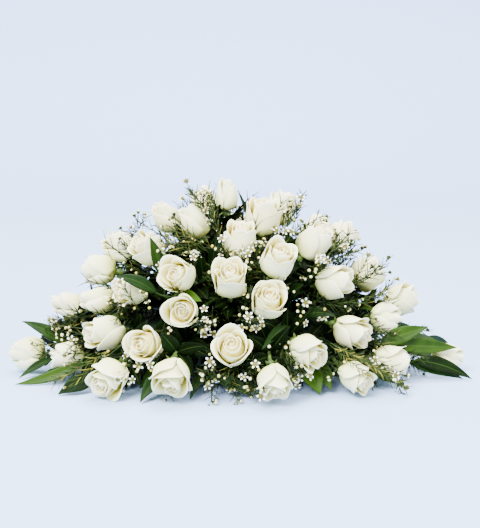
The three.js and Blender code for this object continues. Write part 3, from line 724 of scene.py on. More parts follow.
def blade_face(start, tip, width, arch):
    """Which way a blade faces: outwards, as far as its height over the table lets it."""
    middle = start.lerp(tip, 0.5)
    room = max((middle.z + arch - GROUND) / (width / 2), 0)
    outward = min(max(-middle.y / 50, -1), 1) * min(LEAF_CANT, room)
    return Vector((0, -outward, math.sqrt(1 - outward * outward)))


def blade_square(along, face):
    """Two directions square to a blade's way: across it, and the way that it faces."""
    side = face.cross(along)
    if side.length < 0.2:
        return square(along)
    side.normalize()
    return side, along.cross(side).normalized()


def bowed(start, middle, end, t):
    """The point at share t of a bow from start to end, drawn towards its middle."""
    return start * (1 - t) ** 2 + middle * (2 * t * (1 - t)) + end * t * t


def lay_leaf(mesh, start, tip, width, arch, draw, face=None, shade=None, along=14, across=6):
    """A folded blade, arched from its base to its tip, its green drawn where no shade is given."""
    face = face or blade_face(start, tip, width, arch)
    rise = start.lerp(tip, 0.5) + UP * (arch * 2)
    wave = draw.uniform(0, FULL_TURN)
    twist = draw.uniform(-0.2, 0.2)
    fold = draw.uniform(0.16, 0.32)

    def place(u, v):
        s = 2 * u - 1
        way = ((rise - start) * (1 - v) + (tip - rise) * v).normalized()
        side, lift = blade_square(way, face)
        # widest at 0.4 of its length, and pointed at both ends
        half = width / 2 * (math.sin(math.pi * min(v ** 0.76, 1)) ** 1.05 if 0 < v < 1 else 0) + 0.35
        # turned a little more the nearer the tip, folded along the midrib and wavy at its edges
        cos, sin = math.cos(twist * v), math.sin(twist * v)
        side, lift = side * cos + lift * sin, lift * cos - side * sin
        cup = half * fold * abs(s) ** 1.3 + 0.06 * half * math.sin(9 * v + 3 * s + wave) * abs(s)
        return bowed(start, rise, tip, v) + side * (-s * half) + lift * cup

    lay_sheet(mesh, across, along, place, 0.95 * draw.random() ** 1.5 if shade is None else shade)


# leathery blade: dark waxy green, mottled in patches about 18 mm across, with a slightly raised midrib and
# side veins that are a little paler; how light its green is comes from its shade, which in part paints the
# light and shade on it
leaf_finish, tree, surface = finish("glossy leaf", {"Roughness": 0.4})
leaf_uv = node(tree, "UVMap")
across_leaf, along_leaf = (node(tree, "SeparateXYZ", inputs={"Vector": leaf_uv}, out=way) for way in "XY")
off_rib = node(tree, "Math", {"operation": "SUBTRACT"}, {0: across_leaf, 1: 0.5})
from_rib = node(tree, "Math", {"operation": "ABSOLUTE"}, {0: off_rib})
rib_line = node(tree, "MapRange", inputs={
    "Value": from_rib, "From Min": 0.01, "From Max": 0.045, "To Min": 1.0, "To Max": 0.0,
})
# side veins leave the midrib every 6 mm or so and sweep towards the tip
swept = node(tree, "Math", {"operation": "MULTIPLY"}, {0: from_rib, 1: -0.42})
up_leaf = node(tree, "Math", {"operation": "ADD"}, {0: along_leaf, 1: swept})
vein_count = node(tree, "Math", {"operation": "MULTIPLY"}, {0: up_leaf, 1: 13.0})
vein_share = node(tree, "Math", {"operation": "PINGPONG"}, {0: vein_count, 1: 0.5})
vein_line = node(tree, "MapRange", inputs={
    "Value": vein_share, "From Min": 0.0, "From Max": 0.07, "To Min": 1.0, "To Max": 0.0,
})
faint = node(tree, "Math", {"operation": "MULTIPLY"}, {0: vein_line, 1: 0.45})
lines = node(tree, "Math", {"operation": "MAXIMUM"}, {0: rib_line, 1: faint})
# painted light and shade: each leaf's shade sets how light its green is, near black for those deep in the
# spray
leaf_shade = node(tree, "Attribute", {"attribute_name": "shade"}, out="Fac")
on_leaf = node(tree, "TexCoord", out="Object")
patches = node(tree, "TexNoise", inputs={"Vector": on_leaf, "Scale": 55.0, "Detail": 4.0})
leaf_green = node(tree, "Math", {"operation": "MULTIPLY_ADD"}, {0: patches, 1: 0.5, 2: leaf_shade})
leaf_tone = node(tree, "ValToRGB", inputs={"Fac": leaf_green}, stops=(
    (0.15, "#060e03"), (0.6, "#12270a"), (1.0, "#2c4608"),
))
veined = node(tree, "Mix", {"data_type": "RGBA"}, {0: lines, 6: leaf_tone, 7: linear("#3f5c22")}, out=2)
part_veined = node(tree, "Mix", {"data_type": "RGBA"}, {0: 0.35, 6: leaf_tone, 7: veined}, out=2)
# the shine follows the painted shade: the leaves painted darkest, deep in the spray, hardly shine
shine = node(tree, "MapRange", inputs={
    "Value": leaf_shade, "From Min": -0.2, "From Max": 0.4, "To Min": 0.02, "To Max": 0.08,
})
leaf_ribs = node(tree, "Bump", inputs={"Height": lines, "Strength": 0.35, "Distance": 0.0005})
plug(tree, surface, {"Base Color": part_veined, "Specular IOR Level": shine, "Normal": leaf_ribs})

# the middle and radius of what the filling leaves may not cover: every head, and every large leaf
shown = [(rose["middle"], rose["radius"] + 1) for rose in roses]
for name, (foot, groups) in LEAFY_STEMS.items():
    draw = random.Random("leaves " + name)
    foliage = bmesh.new()
    root = Vector(foot)
    for leaves in groups:
        bases = [Vector(leaf[0]) for leaf in leaves]
        high = bases[0].copy()
        high.z = max(high.z, OVER_RIM)
        out = comes_out(root, high)
        past = bases[-1].lerp(Vector(leaves[-1][1]), 0.12)
        stops = route([root, out, out.lerp(bases[0], 0.55), *bases, past], PETIOLE + 1.5, None, 2)
        path = [stops[0], *smooth_path(stops[1:], 5)]
        lay_stem(foliage, path, lambda t: PETIOLE * (1 - 0.45 * t), 6, 0.5)
        for i, (_, tip, width, arch, shade) in enumerate(leaves):
            # its lightness from the table: in part painted light and shade
            lay_leaf(foliage, stops[i + 3], Vector(tip), width, arch, draw, shade=shade)
            shown.append((stops[i + 3].lerp(Vector(tip), LEAF_CORE), width * 0.7))
    branch = put("foliage_" + name, foliage, [leaf_finish])
    thicken(branch, "leaf thickness", LEAF_THICKNESS)
    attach(branch, "root")
    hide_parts("leaves_" + name)


# Inner foliage
# Leaves of the rose stems and short leafy tips, packed under and between the heads so that the foam is
# hidden,
# and painted near black: painted shade, where the inside of the spray lies in shadow. Each springs from a
# rose stem, or hangs from the foam over the rim of the tray.

INNER_TIERS = ((9, 6), (30, 5), (55, 5), (85, 4))  # distance below the cup, and leaves there
LOW_LEAF = 4  # no leaf on a rose stem comes lower than this
SHORT_LEAF = 24  # and none is shorter
LAST_LEAF = 300  # and none stands further to the right
COVER_DEPTH = 60  # how far before a head or a leaf a thing covers it
GAP_LEAVES = 3
GAP_REACH = 45  # from the stem to the gap
SKIRT_LEAVES = 40
SKIRT_HALF = 240  # from the middle to the last leaf of the skirt
TRAY_SIDE = TRAY_WIDTH / 2 + 1  # just past the rim
TRAY_MIDDLE = 170  # the skirt is deeper as far as this to each side of the middle
# gaps between the heads, which leaves close
LEAF_GAPS = (
    (-102, -30, 184), (-88, 0, 208), (-4, 8, 256), (96, 0, 200),
    (172, 10, 180), (84, -46, 150), (96, -30, 168), (104, -20, 182), (88, -10, 214), (100, 10, 196),
    (-262, -20, 92), (-280, -30, 74), (-250, -10, 104), (-296, -30, 66), (-270, 0, 84),
    (188, -30, 116), (172, -40, 112), (158, -30, 122), (204, -20, 128), (186, 20, 120),
    (-190, -30, 120), (-150, -20, 160), (60, -50, 190), (110, -60, 160), (150, 10, 150), (-120, 30, 170),
)
DEEP_GAPS = ((88, -20, 108), (90, 10, 100), (88, -10, 118), (93, 60, 106))


def covers(point):
    """Whether a point stands before a head or a large leaf as the viewer sees it."""
    away = to_viewer(point.y, 20)
    for middle, radius in shown:
        out = point - middle
        lead = out.dot(away)
        if 0 < lead < COVER_DEPTH and (out - away * lead).length < radius:
            return True
    return False


def covers_along(start, tip, half):
    """Whether the outer part of a strip, of this half width, stands before a head or a large leaf."""
    return any(covers(start.lerp(tip, share) + Vector((out, 0, 0)))
               for share in (0.55, 0.7, 0.85, 1) for out in (-half, 0, half))


def scatter(draw, *spans):
    """A random shift, within a span each way along x, y and z."""
    return Vector([draw.uniform(low, high) for low, high in spans])


def close_gap(mesh, spot, draw):
    """Broad leaves across a gap between the heads, from a rose stem that stands near it."""
    start = min((point for rose in roses for point in rose["stem"][3:]),
                key=lambda point: abs((point - spot).length - GAP_REACH))
    for _ in range(GAP_LEAVES):
        aim = spot + scatter(draw, (-12, 12), (-12, 12), (-8, 10))
        tip = clear_of_roses(start.lerp(aim, 1.35), 2)
        if not covers(tip):
            # painted shade: these leaves take the darkest greens
            lay_leaf(mesh, start, tip, draw.uniform(26, 32), 4, draw, None, draw.uniform(-0.5, 0.0), 8, 4)


draw = random.Random("inner foliage")
late = random.Random("last gaps")
# each half, with the y that it starts and ends at and its side of the tray
for half_name, first, last, side_of in (("front", -400, 20, -1), ("back", 20, 400, 1)):
    inner = bmesh.new()
    for rose in roses:
        if not first <= rose["middle"].y < last:
            continue
        below = rose["stem"][::-1]
        for down, count in INNER_TIERS:
            # the spot on the stem that is so far down
            left, i = down, 0
            while i < len(below) - 2 and left > (below[i + 1] - below[i]).length:
                left -= (below[i + 1] - below[i]).length
                i += 1
            if i > len(below) - 4:
                continue
            spot = below[i] + (below[i + 1] - below[i]).normalized() * left
            up_stem = (below[i] - below[i + 1]).normalized()
            side, lift = square(up_stem)
            for k in range(count):
                turn = 2 * math.pi * k / count + draw.uniform(-0.5, 0.5) + down
                away = around(Vector(), side, lift, turn)
                reach = draw.uniform(40, 60)
                tip = clear_of_roses(spot + away * reach + up_stem * reach * draw.uniform(0.1, 0.75), 2)
                if min(tip.z, spot.z) < LOW_LEAF or (tip - spot).length < SHORT_LEAF:
                    continue
                if max(tip.x, spot.x) > LAST_LEAF:
                    continue
                if any(hides(point) or covers(point) for point in (tip, spot.lerp(tip, 0.7))):
                    continue
                face = (up_stem + UP * 0.2).normalized()
                # painted shade: these leaves take the darkest greens
                lay_leaf(inner, spot, tip, draw.uniform(20, 28), draw.uniform(0, 4), draw, face,
                         draw.uniform(-0.5, 0.0), 6, 4)
    for gaps, seeds in ((LEAF_GAPS, draw), (DEEP_GAPS, late)):
        for gap in gaps:
            if first <= gap[1] < last:
                close_gap(inner, Vector(gap), seeds)
    # a skirt of leaves from the rim of the tray down to the table, most of them painted dark as painted
    # shade under the spray
    for k in range(SKIRT_LEAVES):
        x = -SKIRT_HALF + 2 * SKIRT_HALF * k / (SKIRT_LEAVES - 1) + draw.uniform(-6, 6)
        start = Vector((x, side_of * TRAY_SIDE, draw.uniform(36, 46)))
        reach = draw.uniform(125, 190 if abs(x) < TRAY_MIDDLE else 150)
        tip = Vector((x * 1.1 + draw.uniform(-26, 26), side_of * reach, draw.uniform(2, 14)))
        tip = clear_of_roses(tip, 2)
        if covers_along(start, tip, 8):
            continue
        lay_leaf(inner, start, tip, draw.uniform(20, 27), 8, draw, None, draw.uniform(-0.5, 0.3), 8, 4)
    filler = put("inner_foliage_" + half_name, inner, [leaf_finish])
    thicken(filler, "leaf thickness", LEAF_THICKNESS)
    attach(filler, "root")


# Waxflower
# Thin branching stems with needle leaves, round cream buds, and small florets: five round white petals
# about a shallow yellow-green cup. Each group of shoots has its foot in the top of the foam.

# each group's foot, and the tips of its shoots
WAX_SPRAYS = {
    "crown": ((0, 4, 90), [
        (-86, 12, 300), (98, 8, 272), (134, 30, 250), (26, -98, 214), (-30, -92, 222), (-18, 96, 262),
    ]),
    "left": ((-124, 4, 90), [
        (-168, -20, 250), (-118, -76, 226), (-300, -58, 92), (-276, -112, 60), (-196, -108, 128),
        (-210, 92, 150),
    ]),
    "right": ((112, 4, 90), [
        (232, -36, 168), (190, -22, 214), (128, -92, 186), (118, -130, 130), (262, -164, 14), (208, 96, 146),
    ]),
    "front": ((0, -36, 90), [
        (-64, -182, 112), (14, -176, 120), (-58, -222, 44), (26, -232, 16), (96, -208, 38),
    ]),
    "back": ((0, 40, 90), [(-52, 190, 118), (64, 186, 96), (-112, 196, 60), (40, 140, 206)]),
}
WAX_POST = {"radius": 4.5, "depth": 36}
TWIG = 0.95  # radius
SHOOT_STEPS = 4
SHOOT_NEEDLES = 20
END_NEEDLES = 2
END_HEADS = 3
SIDE_TWIGS = 7
BARE_TWIGS = 3  # of these, the lowest, without buds
TWIG_NEEDLES = 6
SIDE_TWIG = 0.55  # radius
STALK = 0.5  # radius, under a solid's bud or floret
FINE_STALK = 0.4  # and under another
NEEDLE = 19  # length of a solid's needle
NEEDLE_THICK = 0.9
FLORET_PETALS = 5
FLORET = 7.6  # radius
BUD = 2.9  # radius
PAIR_TURN = 1.57  # from one pair of needles to the next
PAIR_ACROSS = 3.14  # from one needle of a pair to the other
# what a side twig ends in: how far buds spread and reach, the room that they keep, the share and size of
# the florets among them
TWIG_TIP = {"spread": 0.7, "reach": (3, 8), "room": 3.5, "florets": 0.12, "size": (6.0, 7.6)}
# where the solids' own draws start in each group
SPRAY_SEEDS = {"crown": 0, "left": 100, "right": 200, "front": 300, "back": 400}
GREEN, CREAM, WHITE = 0, 1, 2  # material slots of a spray


def draws(seed):
    """The solids' own run of seeded numbers from 0 to 1."""
    state = seed

    def draw():
        nonlocal state
        state = (state + 0x6D2B79F5) & 0xFFFFFFFF
        t = state
        t = ((t ^ (t >> 15)) * (t | 1)) & 0xFFFFFFFF
        t ^= (t + (((t ^ (t >> 7)) * (t | 61)) & 0xFFFFFFFF)) & 0xFFFFFFFF
        return (t ^ (t >> 14)) / 4294967296

    return draw


def lay_needle(mesh, root, point, bend, draw, thick=NEEDLE_THICK, gold=0.0):
    """A needle leaf from its root to its point, its middle pushed aside by bend."""
    middle = root.lerp(point, 0.5) + bend
    shade = gold + (0.9 - 0.7 * gold) * draw.random()
    lay_stem(mesh, [root, middle, point], lambda t: thick * (1 - 0.5 * t), 3, shade, GREEN)


def lay_turned(mesh, head, way, size, profile, sides, shade):
    """A small green cup, turned about the way that it faces: its radius and height in each row."""
    side, lift = square(way)

    def turned(u, v):
        r, rise = profile[round(v * (len(profile) - 1))]
        return around(head, side, lift, 2 * math.pi * u, size * r) + way * (size * rise)

    lay_sheet(mesh, sides, len(profile) - 1, turned, shade, GREEN)


def lay_bud(mesh, head, way, size, draw):
    """A round closed bud in a small green cup."""
    side, lift = square(way)
    shade = draw.random()

    def ball(u, v):
        a, b = 2 * math.pi * u, math.pi * v
        return around(head, side, lift, a, size * math.sin(b)) - way * (size * math.cos(b))

    lay_sheet(mesh, 6, 5, ball, shade, CREAM)
    lay_turned(mesh, head, way, size, ((0.3, -1.5), (1.06, -0.5), (1.02, 0.1)), 6, shade)


def lay_floret(mesh, head, way, size, draw):
    """Five round petals about a cup with a raised ring."""
    side, lift = square(way)
    spin = draw.uniform(0, FULL_TURN)
    shade = draw.random()
    droop = draw.uniform(-0.15, 0.2)
    cup = ((0.1, -0.75), (0.47, -0.3), (0.5, 0.1), (0.3, 0.0), (0.0, -0.02))
    lay_turned(mesh, head, way, size, cup, 8, 0.92)
    for k in range(FLORET_PETALS):
        out = around(Vector(), side, lift, spin + 2 * math.pi * k / FLORET_PETALS)
        over = way.cross(out)

        def petal(u, v, out=out, over=over):
            s = 2 * u - 1
            half = size * 0.245 * math.sin(math.pi * (0.1 + 0.86 * v)) ** 0.6
            r = size * (0.47 + 0.6 * v)
            return head + out * r + over * (s * half) + way * size * (0.04 + 0.1 * s * s - droop * v * v)

        lay_sheet(mesh, 3, 4, petal, shade, WHITE)


def lay_paired_needle(mesh, spot, along, n, reach, draw, thick=NEEDLE_THICK, gold=0.0):
    """The n-th needle of a twig that runs along: they stand in pairs, each pair turned on the last."""
    a = n // 2 * PAIR_TURN + n % 2 * PAIR_ACROSS + draw.uniform(-0.3, 0.3)
    way = around(along * 0.8, *square(along), a, 0.6)
    point = clear_of_roses(spot + way * draw.uniform(13, reach), 1.5)
    lay_needle(mesh, spot, point, along * 0.8, draw, thick, gold)


def lay_tip(mesh, end, way, count, tip, draw):
    """The buds and florets about the end of a twig, each on a short stalk and none before a rose's face."""
    side, lift = square(way)
    for _ in range(count):
        spread = around(way, side, lift, draw.uniform(0, FULL_TURN), tip["spread"])
        head = clear_of_roses(end + spread * draw.uniform(*tip["reach"]), tip["room"])
        if hides(head):
            continue
        lay_needle(mesh, end, head, Vector(), draw, FINE_STALK)
        aim = (head - end).normalized()
        if draw.random() < tip["florets"]:
            lay_floret(mesh, head, aim, draw.uniform(*tip["size"]), draw)
        else:
            lay_bud(mesh, head, aim, draw.uniform(1.9, 3.1), draw)


# green twigs and needles: almost dull, from near black to olive gold, each piece given its own tone, the
# needles of the golden sprigs lighter
wax_green, tree, surface = finish("waxflower twig", {"Roughness": 0.5, "Specular IOR Level": 0.2})
wax_shade = node(tree, "Attribute", {"attribute_name": "shade"}, out="Fac")
wax_tone = node(tree, "ValToRGB", inputs={"Fac": wax_shade}, stops=(
    (0.0, "#0a1304"), (0.5, "#162806"), (0.8, "#2f4210"), (0.9, "#4c4a1c"), (1.0, "#8b8634"),
))
plug(tree, surface, {"Base Color": wax_tone})

# waxy bud: smooth and shiny, with light inside it, from golden green to cream
wax_cream, tree, surface = finish("waxflower bud", {
    "Roughness": 0.32, "Subsurface Weight": 0.15, "Subsurface Scale": 0.002,
})
bud_shade = node(tree, "Attribute", {"attribute_name": "shade"}, out="Fac")
bud_tone = node(tree, "ValToRGB", inputs={"Fac": bud_shade}, stops=(
    (0.0, "#a3912a"), (0.4, "#cfc572"), (1.0, "#f4f0c8"),
))
plug(tree, surface, {"Base Color": bud_tone})

# waxy petal: white with a soft shine, yellow-green only where it leaves the cup
wax_white, tree, surface = finish("waxflower petal", {
    "Roughness": 0.4, "Subsurface Weight": 0.2, "Subsurface Scale": 0.002,
})
up_floret = node(tree, "SeparateXYZ", inputs={"Vector": node(tree, "UVMap")}, out="Y")
floret_tone = node(tree, "ValToRGB", inputs={"Fac": up_floret}, stops=(
    (0.0, "#a89f48"), (0.36, "#f2f0de"), (1.0, "#fbfbf4"),
))
plug(tree, surface, {"Base Color": floret_tone})
wax_finishes = [wax_green, wax_cream, wax_white]

for name, (foot, tips) in WAX_SPRAYS.items():
    spray = bmesh.new()
    loose = random.Random("waxflower " + name)
    start = Vector(foot)
    lay_stem(spray, [start - UP * WAX_POST["depth"], start - UP * 3, start + UP * 3],
             lambda t: WAX_POST["radius"], 8, 0.3)
    for number, tip in enumerate(tips):
        draw = draws(SPRAY_SEEDS[name] + number)
        end = clear_of_roses(Vector(tip), 3)
        bow = start.lerp(end, 0.45) + UP * 14
        stops = [bowed(start, bow, end, i / SHOOT_STEPS) for i in range(SHOOT_STEPS + 1)]
        path = route(stops, TWIG + 2)

        def on_shoot(t, path=path):
            i = min(int(t * SHOOT_STEPS), SHOOT_STEPS - 1)
            return path[i].lerp(path[i + 1], t * SHOOT_STEPS - i)

        def towards(t, spread, angle):
            way = (on_shoot(min(t + 0.05, 1)) - on_shoot(t - 0.1)).normalized()
            return around(way * math.cos(spread), *square(way), angle, math.sin(spread))

        lay_stem(spray, smooth_path(path, 4), lambda t: TWIG * (1 - 0.5 * t), 5, 0.35)
        # needles in pairs up the shoot
        for k in range(SHOOT_NEEDLES):
            pair = k // 2
            t = 0.45 + 0.055 * pair
            way = towards(t, 0.6, pair * PAIR_TURN + k % 2 * PAIR_ACROSS + loose.uniform(-0.3, 0.3))
            root = on_shoot(t)
            point = clear_of_roses(root + way * loose.uniform(13, 21), 1.5)
            lay_needle(spray, root, point, UP * 0.6, loose)
        # the needles and heads that the solid's shoot ends in
        for k in range(END_NEEDLES):
            t = 0.8 + 0.14 * k
            way = towards(t, 0.6, 2 * math.pi * draw())
            root = on_shoot(t)
            point = clear_of_roses(root + way * NEEDLE, 2)
            middle = clear_of_roses(root.lerp(point, 0.5), 2)
            lay_needle(spray, root, point, middle - root.lerp(point, 0.5), loose)
        for k in range(END_HEADS):
            t = 0.8 + 0.09 * k
            way = towards(t, 0.75, 2 * math.pi * draw())
            root = on_shoot(t)
            head = clear_of_roses(root + way * (14 + 8 * draw()), FLORET + 0.5)
            way = (head - root).normalized()
            lay_stem(spray, [root, root.lerp(head, 0.5), head - way * 2], lambda t: STALK, 4, 0.6)
            if draw() < (0.6 if k == END_HEADS - 1 else 0.25):
                lay_floret(spray, head, way, FLORET, loose)
            else:
                lay_bud(spray, head, way, BUD, loose)
        # side twigs with needles in pairs, ending in buds or florets
        for k in range(SIDE_TWIGS):
            t = 0.42 + 0.08 * k + loose.uniform(-0.02, 0.02)
            root = on_shoot(t)
            way = towards(t, loose.uniform(0.45, 0.9), loose.uniform(0, FULL_TURN))
            end = clear_of_roses(root + way * loose.uniform(18, 34), 3)
            middle = clear_of_roses(root.lerp(end, 0.5) + UP * 1.5, 2)
            lay_stem(spray, [root, middle, end], lambda t: SIDE_TWIG, 4, loose.random())
            for n in range(TWIG_NEEDLES):
                share = 0.3 + 0.28 * (n // 2)
                spot = root.lerp(middle, share * 2) if share < 0.5 else middle.lerp(end, share * 2 - 1)
                lay_paired_needle(spray, spot, (end - root).normalized(), n, 20, loose)
            if k >= BARE_TWIGS:
                count = loose.choice((1, 2, 2, 3))
                lay_tip(spray, end, (end - middle).normalized(), count, TWIG_TIP, loose)
    wax = put("waxflower_sprigs_" + name, spray, wax_finishes)
    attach(wax, "root")
    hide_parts("waxflower_" + name)


# Needle sprigs
# Short feathery tips of the same waxflower, full of needle leaves, pushed up between neighbouring heads.
# Some end in a few buds or a floret.

ROOM_BETWEEN = 34  # the widest space between two heads with sprigs in it
SPRIGS_BETWEEN = 3
NEEDLE_STEP = 7.5  # from one pair of needles to the next
SPRIG_TWIG = 0.8  # radius
STURDY = 1.3  # the thickness of a needle on a sprig without flowers
SPRIG_TIP = {"spread": 0.8, "reach": (4, 9), "room": 4, "florets": 0.16, "size": (6.5, 8)}
LOW_SPRIGS = 36  # along each side of the tray
LOW_SPRIGS_HALF = 235  # from the middle to the last of them
END_SPRIGS = 12  # from both ends of the tray
TRAY_END = TRAY_LENGTH / 2 + 6  # past the rim
# golden sprigs that stand out from the heads, each as its root and its tip
SHOWN_SPRIGS = (
    ((71, 10, 219), (102, 30, 282)), ((71, 0, 221), (81, 10, 273)), ((71, 0, 216), (136, 0, 255)),
    ((-35, 20, 212), (-82, 0, 299)), ((-58, -36, 203), (-108, -42, 250)),
    ((-58, -36, 200), (-124, -42, 238)), ((-62, -40, 200), (-92, -44, 240)),
    ((-79, -30, 194), (-134, -44, 222)), ((-90, -20, 190), (-168, -20, 250)),
    ((-179, 0, 178), (-222, -20, 217)), ((138, -20, 182), (180, -20, 233)),
    ((137, -40, 186), (197, -20, 201)), ((183, -30, 146), (234, -22, 172)),
    ((183, -30, 146), (208, -22, 187)), ((153, -40, 115), (243, -40, 135)),
    ((152, -60, 117), (232, -50, 123)), ((230, -20, 63), (262, -20, 82)),
    ((149, -110, 66), (258, -150, 15)), ((150, -100, 66), (244, -134, 34)),
    ((-19, -140, 39), (31, -200, 8)), ((-21, -140, 39), (-4, -212, 7)), ((-41, -140, 34), (-44, -216, 7)),
    ((-250, -60, 79), (-316, -50, 84)), ((-232, -110, 41), (-302, -124, 9)),
    ((-235, -120, 54), (-272, -130, 37)), ((-163, -100, 124), (-186, -100, 160)),
    ((-251, -60, 58), (-336, -60, 50)), ((-240, -30, 84), (-300, -40, 78)),
    ((-244, -30, 92), (-290, -20, 92)), ((-30, 80, 190), (-40, 130, 232)), ((60, 90, 190), (80, 140, 226)),
    ((-150, 100, 120), (-196, 140, 150)), ((150, 100, 120), (200, 140, 146)),
    ((20, 150, 100), (40, 210, 70)), ((-50, -60, 205), (-114, -64, 250)),
    ((-52, -64, 208), (-104, -60, 262)), ((-60, -70, 200), (-134, -64, 240)),
    ((-56, -70, 198), (-116, -84, 226)), ((-28, -50, 214), (-46, -34, 270)),
    ((-30, -60, 206), (-66, -70, 226)), ((-46, -78, 186), (-84, -80, 214)),
    ((66, -40, 214), (84, -30, 262)), ((70, -50, 214), (98, -36, 250)), ((66, -40, 212), (60, -60, 240)),
    ((76, -30, 210), (92, -50, 236)), ((6, -150, 72), (-16, -196, 26)), ((24, -150, 70), (16, -206, 12)),
    ((10, -140, 60), (46, -192, 24)), ((30, -150, 66), (40, -200, 14)), ((-6, -150, 60), (-26, -196, 40)),
)
# sturdier dark ones, without flowers
DARK_SPRIGS = (
    ((85, -10, 230), (103, 10, 292)), ((-55, -30, 258), (-84, -10, 302)),
    ((138, -60, 196), (164, -44, 222)), ((146, -46, 208), (159, -34, 234)),
    ((-242, -108, 52), (-276, -114, 52)), ((-50, -36, 240), (-42, -24, 268)),
)
# the brightest ones, over the lowest heads at both ends
GOLD_SPRIGS = (
    ((128, -120, 80), (235, -192, 38)), ((128, -120, 80), (196, -206, 42)),
    ((141, -120, 72), (260, -186, 15)), ((128, -118, 80), (218, -200, 47)),
    ((-170, -120, 80), (-295, -160, 16)), ((-180, -126, 76), (-265, -172, 16)),
)
# clusters at the ends of short twigs: the middle of each, its florets and its buds
CLUSTERS = (
    ((58, -44, 242), 3, 1), ((77, -44, 238), 3, 1), ((35, -80, 222), 3, 1), ((131, -74, 199), 3, 2),
    ((-145, -116, 133), 1, 1), ((-64, -162, 101), 1, 1), ((-53, -158, 112), 2, 0), ((-56, -148, 126), 1, 1),
    ((-40, -158, 105), 1, 1), ((-48, -192, 54), 1, 3), ((8, -164, 115), 2, 0), ((18, -164, 107), 1, 1),
    ((95, -150, 115), 1, 2), ((86, -206, 34), 2, 1), ((-188, -212, 44), 1, 1), ((-170, -214, 36), 1, 2),
    ((-209, -132, 53), 2, 1), ((-176, -152, 54), 2, 1), ((-72, -88, 207), 2, 1), ((-290, -66, 68), 0, 3),
    ((-278, -66, 77), 0, 3), ((-298, -66, 73), 0, 2), ((95, -142, 133), 0, 4), ((80, -128, 160), 0, 2),
    ((70, -172, 85), 0, 4), ((45, -182, 82), 0, 1), ((114, -94, 180), 0, 3), ((-66, -58, 224), 0, 2),
    ((-84, -56, 226), 0, 2), ((-261, -152, 20), 0, 1), ((-153, -112, 152), 0, 2), ((220, -112, 60), 0, 2),
    ((30, 150, 180), 2, 1), ((-60, 160, 110), 2, 2), ((130, 150, 110), 2, 2), ((-140, 140, 110), 1, 2),
)


def lay_sprig(mesh, root, end, draw, gold=0.0, thick=NEEDLE_THICK):
    """A feathery tip from root to end, its needles green to gold, some with buds or florets."""
    path = route([root.lerp(end, k / 4) for k in range(5)], 2)
    end = clear_of_roses(path[-1], 3)
    path = smooth_path([*path[:-1], end], 3)
    lay_stem(mesh, path, lambda t: SPRIG_TWIG * (1 - 0.4 * t), 4, 0.7)
    pairs = round(0.7 * (end - root).length / NEEDLE_STEP)
    for n in range(2 * pairs):
        t = 0.3 + 0.7 * (n // 2) / pairs
        k = int(t * (len(path) - 1))
        spot = path[k].lerp(path[k + 1], t * (len(path) - 1) - k)
        along = (path[k + 1] - path[k]).normalized()
        lay_paired_needle(mesh, spot, along, n, 22, draw, thick, gold)
    if thick < STURDY and draw.random() >= 0.5:
        lay_tip(mesh, end, (end - path[-3]).normalized(), draw.choice((1, 2, 3)), SPRIG_TIP, draw)


def lay_cluster(mesh, middle, florets, buds, draw):
    """Florets and buds close together at the end of a twig, facing outwards."""
    way = (middle - Vector((middle.x * 0.8, 0, 60))).normalized()
    side, lift = square(way)
    root = middle - way * 26 - UP * 6
    start = draw.uniform(0, FULL_TURN)
    for k in range(florets + buds):
        out = around(Vector(), side, lift, start + 2 * math.pi * k / (florets + buds))
        reach = draw.uniform(5, 8) if florets + buds > 1 else 0
        head = clear_of_roses(middle + out * reach + way * draw.uniform(-3, 3), 3)
        lay_needle(mesh, root, head, Vector(), draw, STALK)
        aim = (way + out * draw.uniform(0.3, 1.4)).normalized()
        if k < florets:
            lay_floret(mesh, head, aim, draw.uniform(5.8, 7.6), draw)
        else:
            lay_bud(mesh, head, aim, draw.uniform(2.2, 3.1), draw)


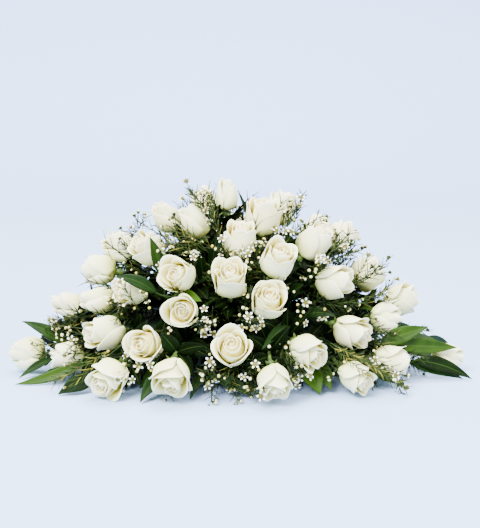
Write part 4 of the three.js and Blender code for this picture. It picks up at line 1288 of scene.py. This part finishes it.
draw = random.Random("needle sprigs")
for half_name, first, last, side_of in (("front", -400, 0, -1), ("back", 0, 400, 1)):
    sprigs = bmesh.new()
    for i, one in enumerate(roses):
        for two in roses[:i]:
            gap = (one["middle"] - two["middle"]).length - one["radius"] - two["radius"]
            between = one["middle"].lerp(two["middle"], 0.5)
            if gap > ROOM_BETWEEN or not first <= between.y < last:
                continue
            way_out = (one["facing"] + two["facing"]) / 2
            for _ in range(SPRIGS_BETWEEN):
                root = between - way_out * draw.uniform(55, 70)
                root += scatter(draw, (-12, 12), (-12, 12), (-8, 8))
                end = between + way_out * draw.uniform(-6, 20)
                end += scatter(draw, (-16, 16), (-12, 12), (-12, 12))
                if root.z >= 8 and end.z >= 8:
                    lay_sprig(sprigs, root, end, draw)
    bright = random.Random("gold sprigs " + half_name)
    # each table, its draws, how golden its needles are and how thick
    for rows, seeds, gold, thick in (
        (SHOWN_SPRIGS, draw, 0.35, NEEDLE_THICK),
        (DARK_SPRIGS, draw, 0.0, STURDY),
        (GOLD_SPRIGS, bright, 0.55, NEEDLE_THICK),
    ):
        for root, end in rows:
            if first <= root[1] < last:
                lay_sprig(sprigs, Vector(root), Vector(end), seeds, gold, thick)
    for middle, florets, buds in CLUSTERS:
        if first <= middle[1] < last:
            lay_cluster(sprigs, Vector(middle), florets, buds, draw)
    # low sprigs over the skirt of leaves, and others past both ends of the tray
    for k in range(LOW_SPRIGS):
        x = -LOW_SPRIGS_HALF + 2 * LOW_SPRIGS_HALF * k / (LOW_SPRIGS - 1) + draw.uniform(-6, 6)
        root = Vector((x, side_of * (TRAY_SIDE + 2), draw.uniform(38, 48)))
        reach = draw.uniform(145, 222 if abs(x) < TRAY_MIDDLE else 180)
        end = Vector((x * 1.12 + draw.uniform(-30, 30), side_of * reach, draw.uniform(5, 22)))
        if not covers_along(root, end, 9):
            lay_sprig(sprigs, root, end, draw, 0.2)
    for k in range(END_SPRIGS):
        out = 1 if k % 2 else -1
        root = Vector((out * TRAY_END, side_of * draw.uniform(4, 60), draw.uniform(38, 60)))
        end = Vector((out * draw.uniform(270, 322), side_of * draw.uniform(10, 110), draw.uniform(6, 52)))
        lay_sprig(sprigs, root, end, draw)
    feathers = put("needle_sprigs_" + half_name, sprigs, wax_finishes)
    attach(feathers, "root")
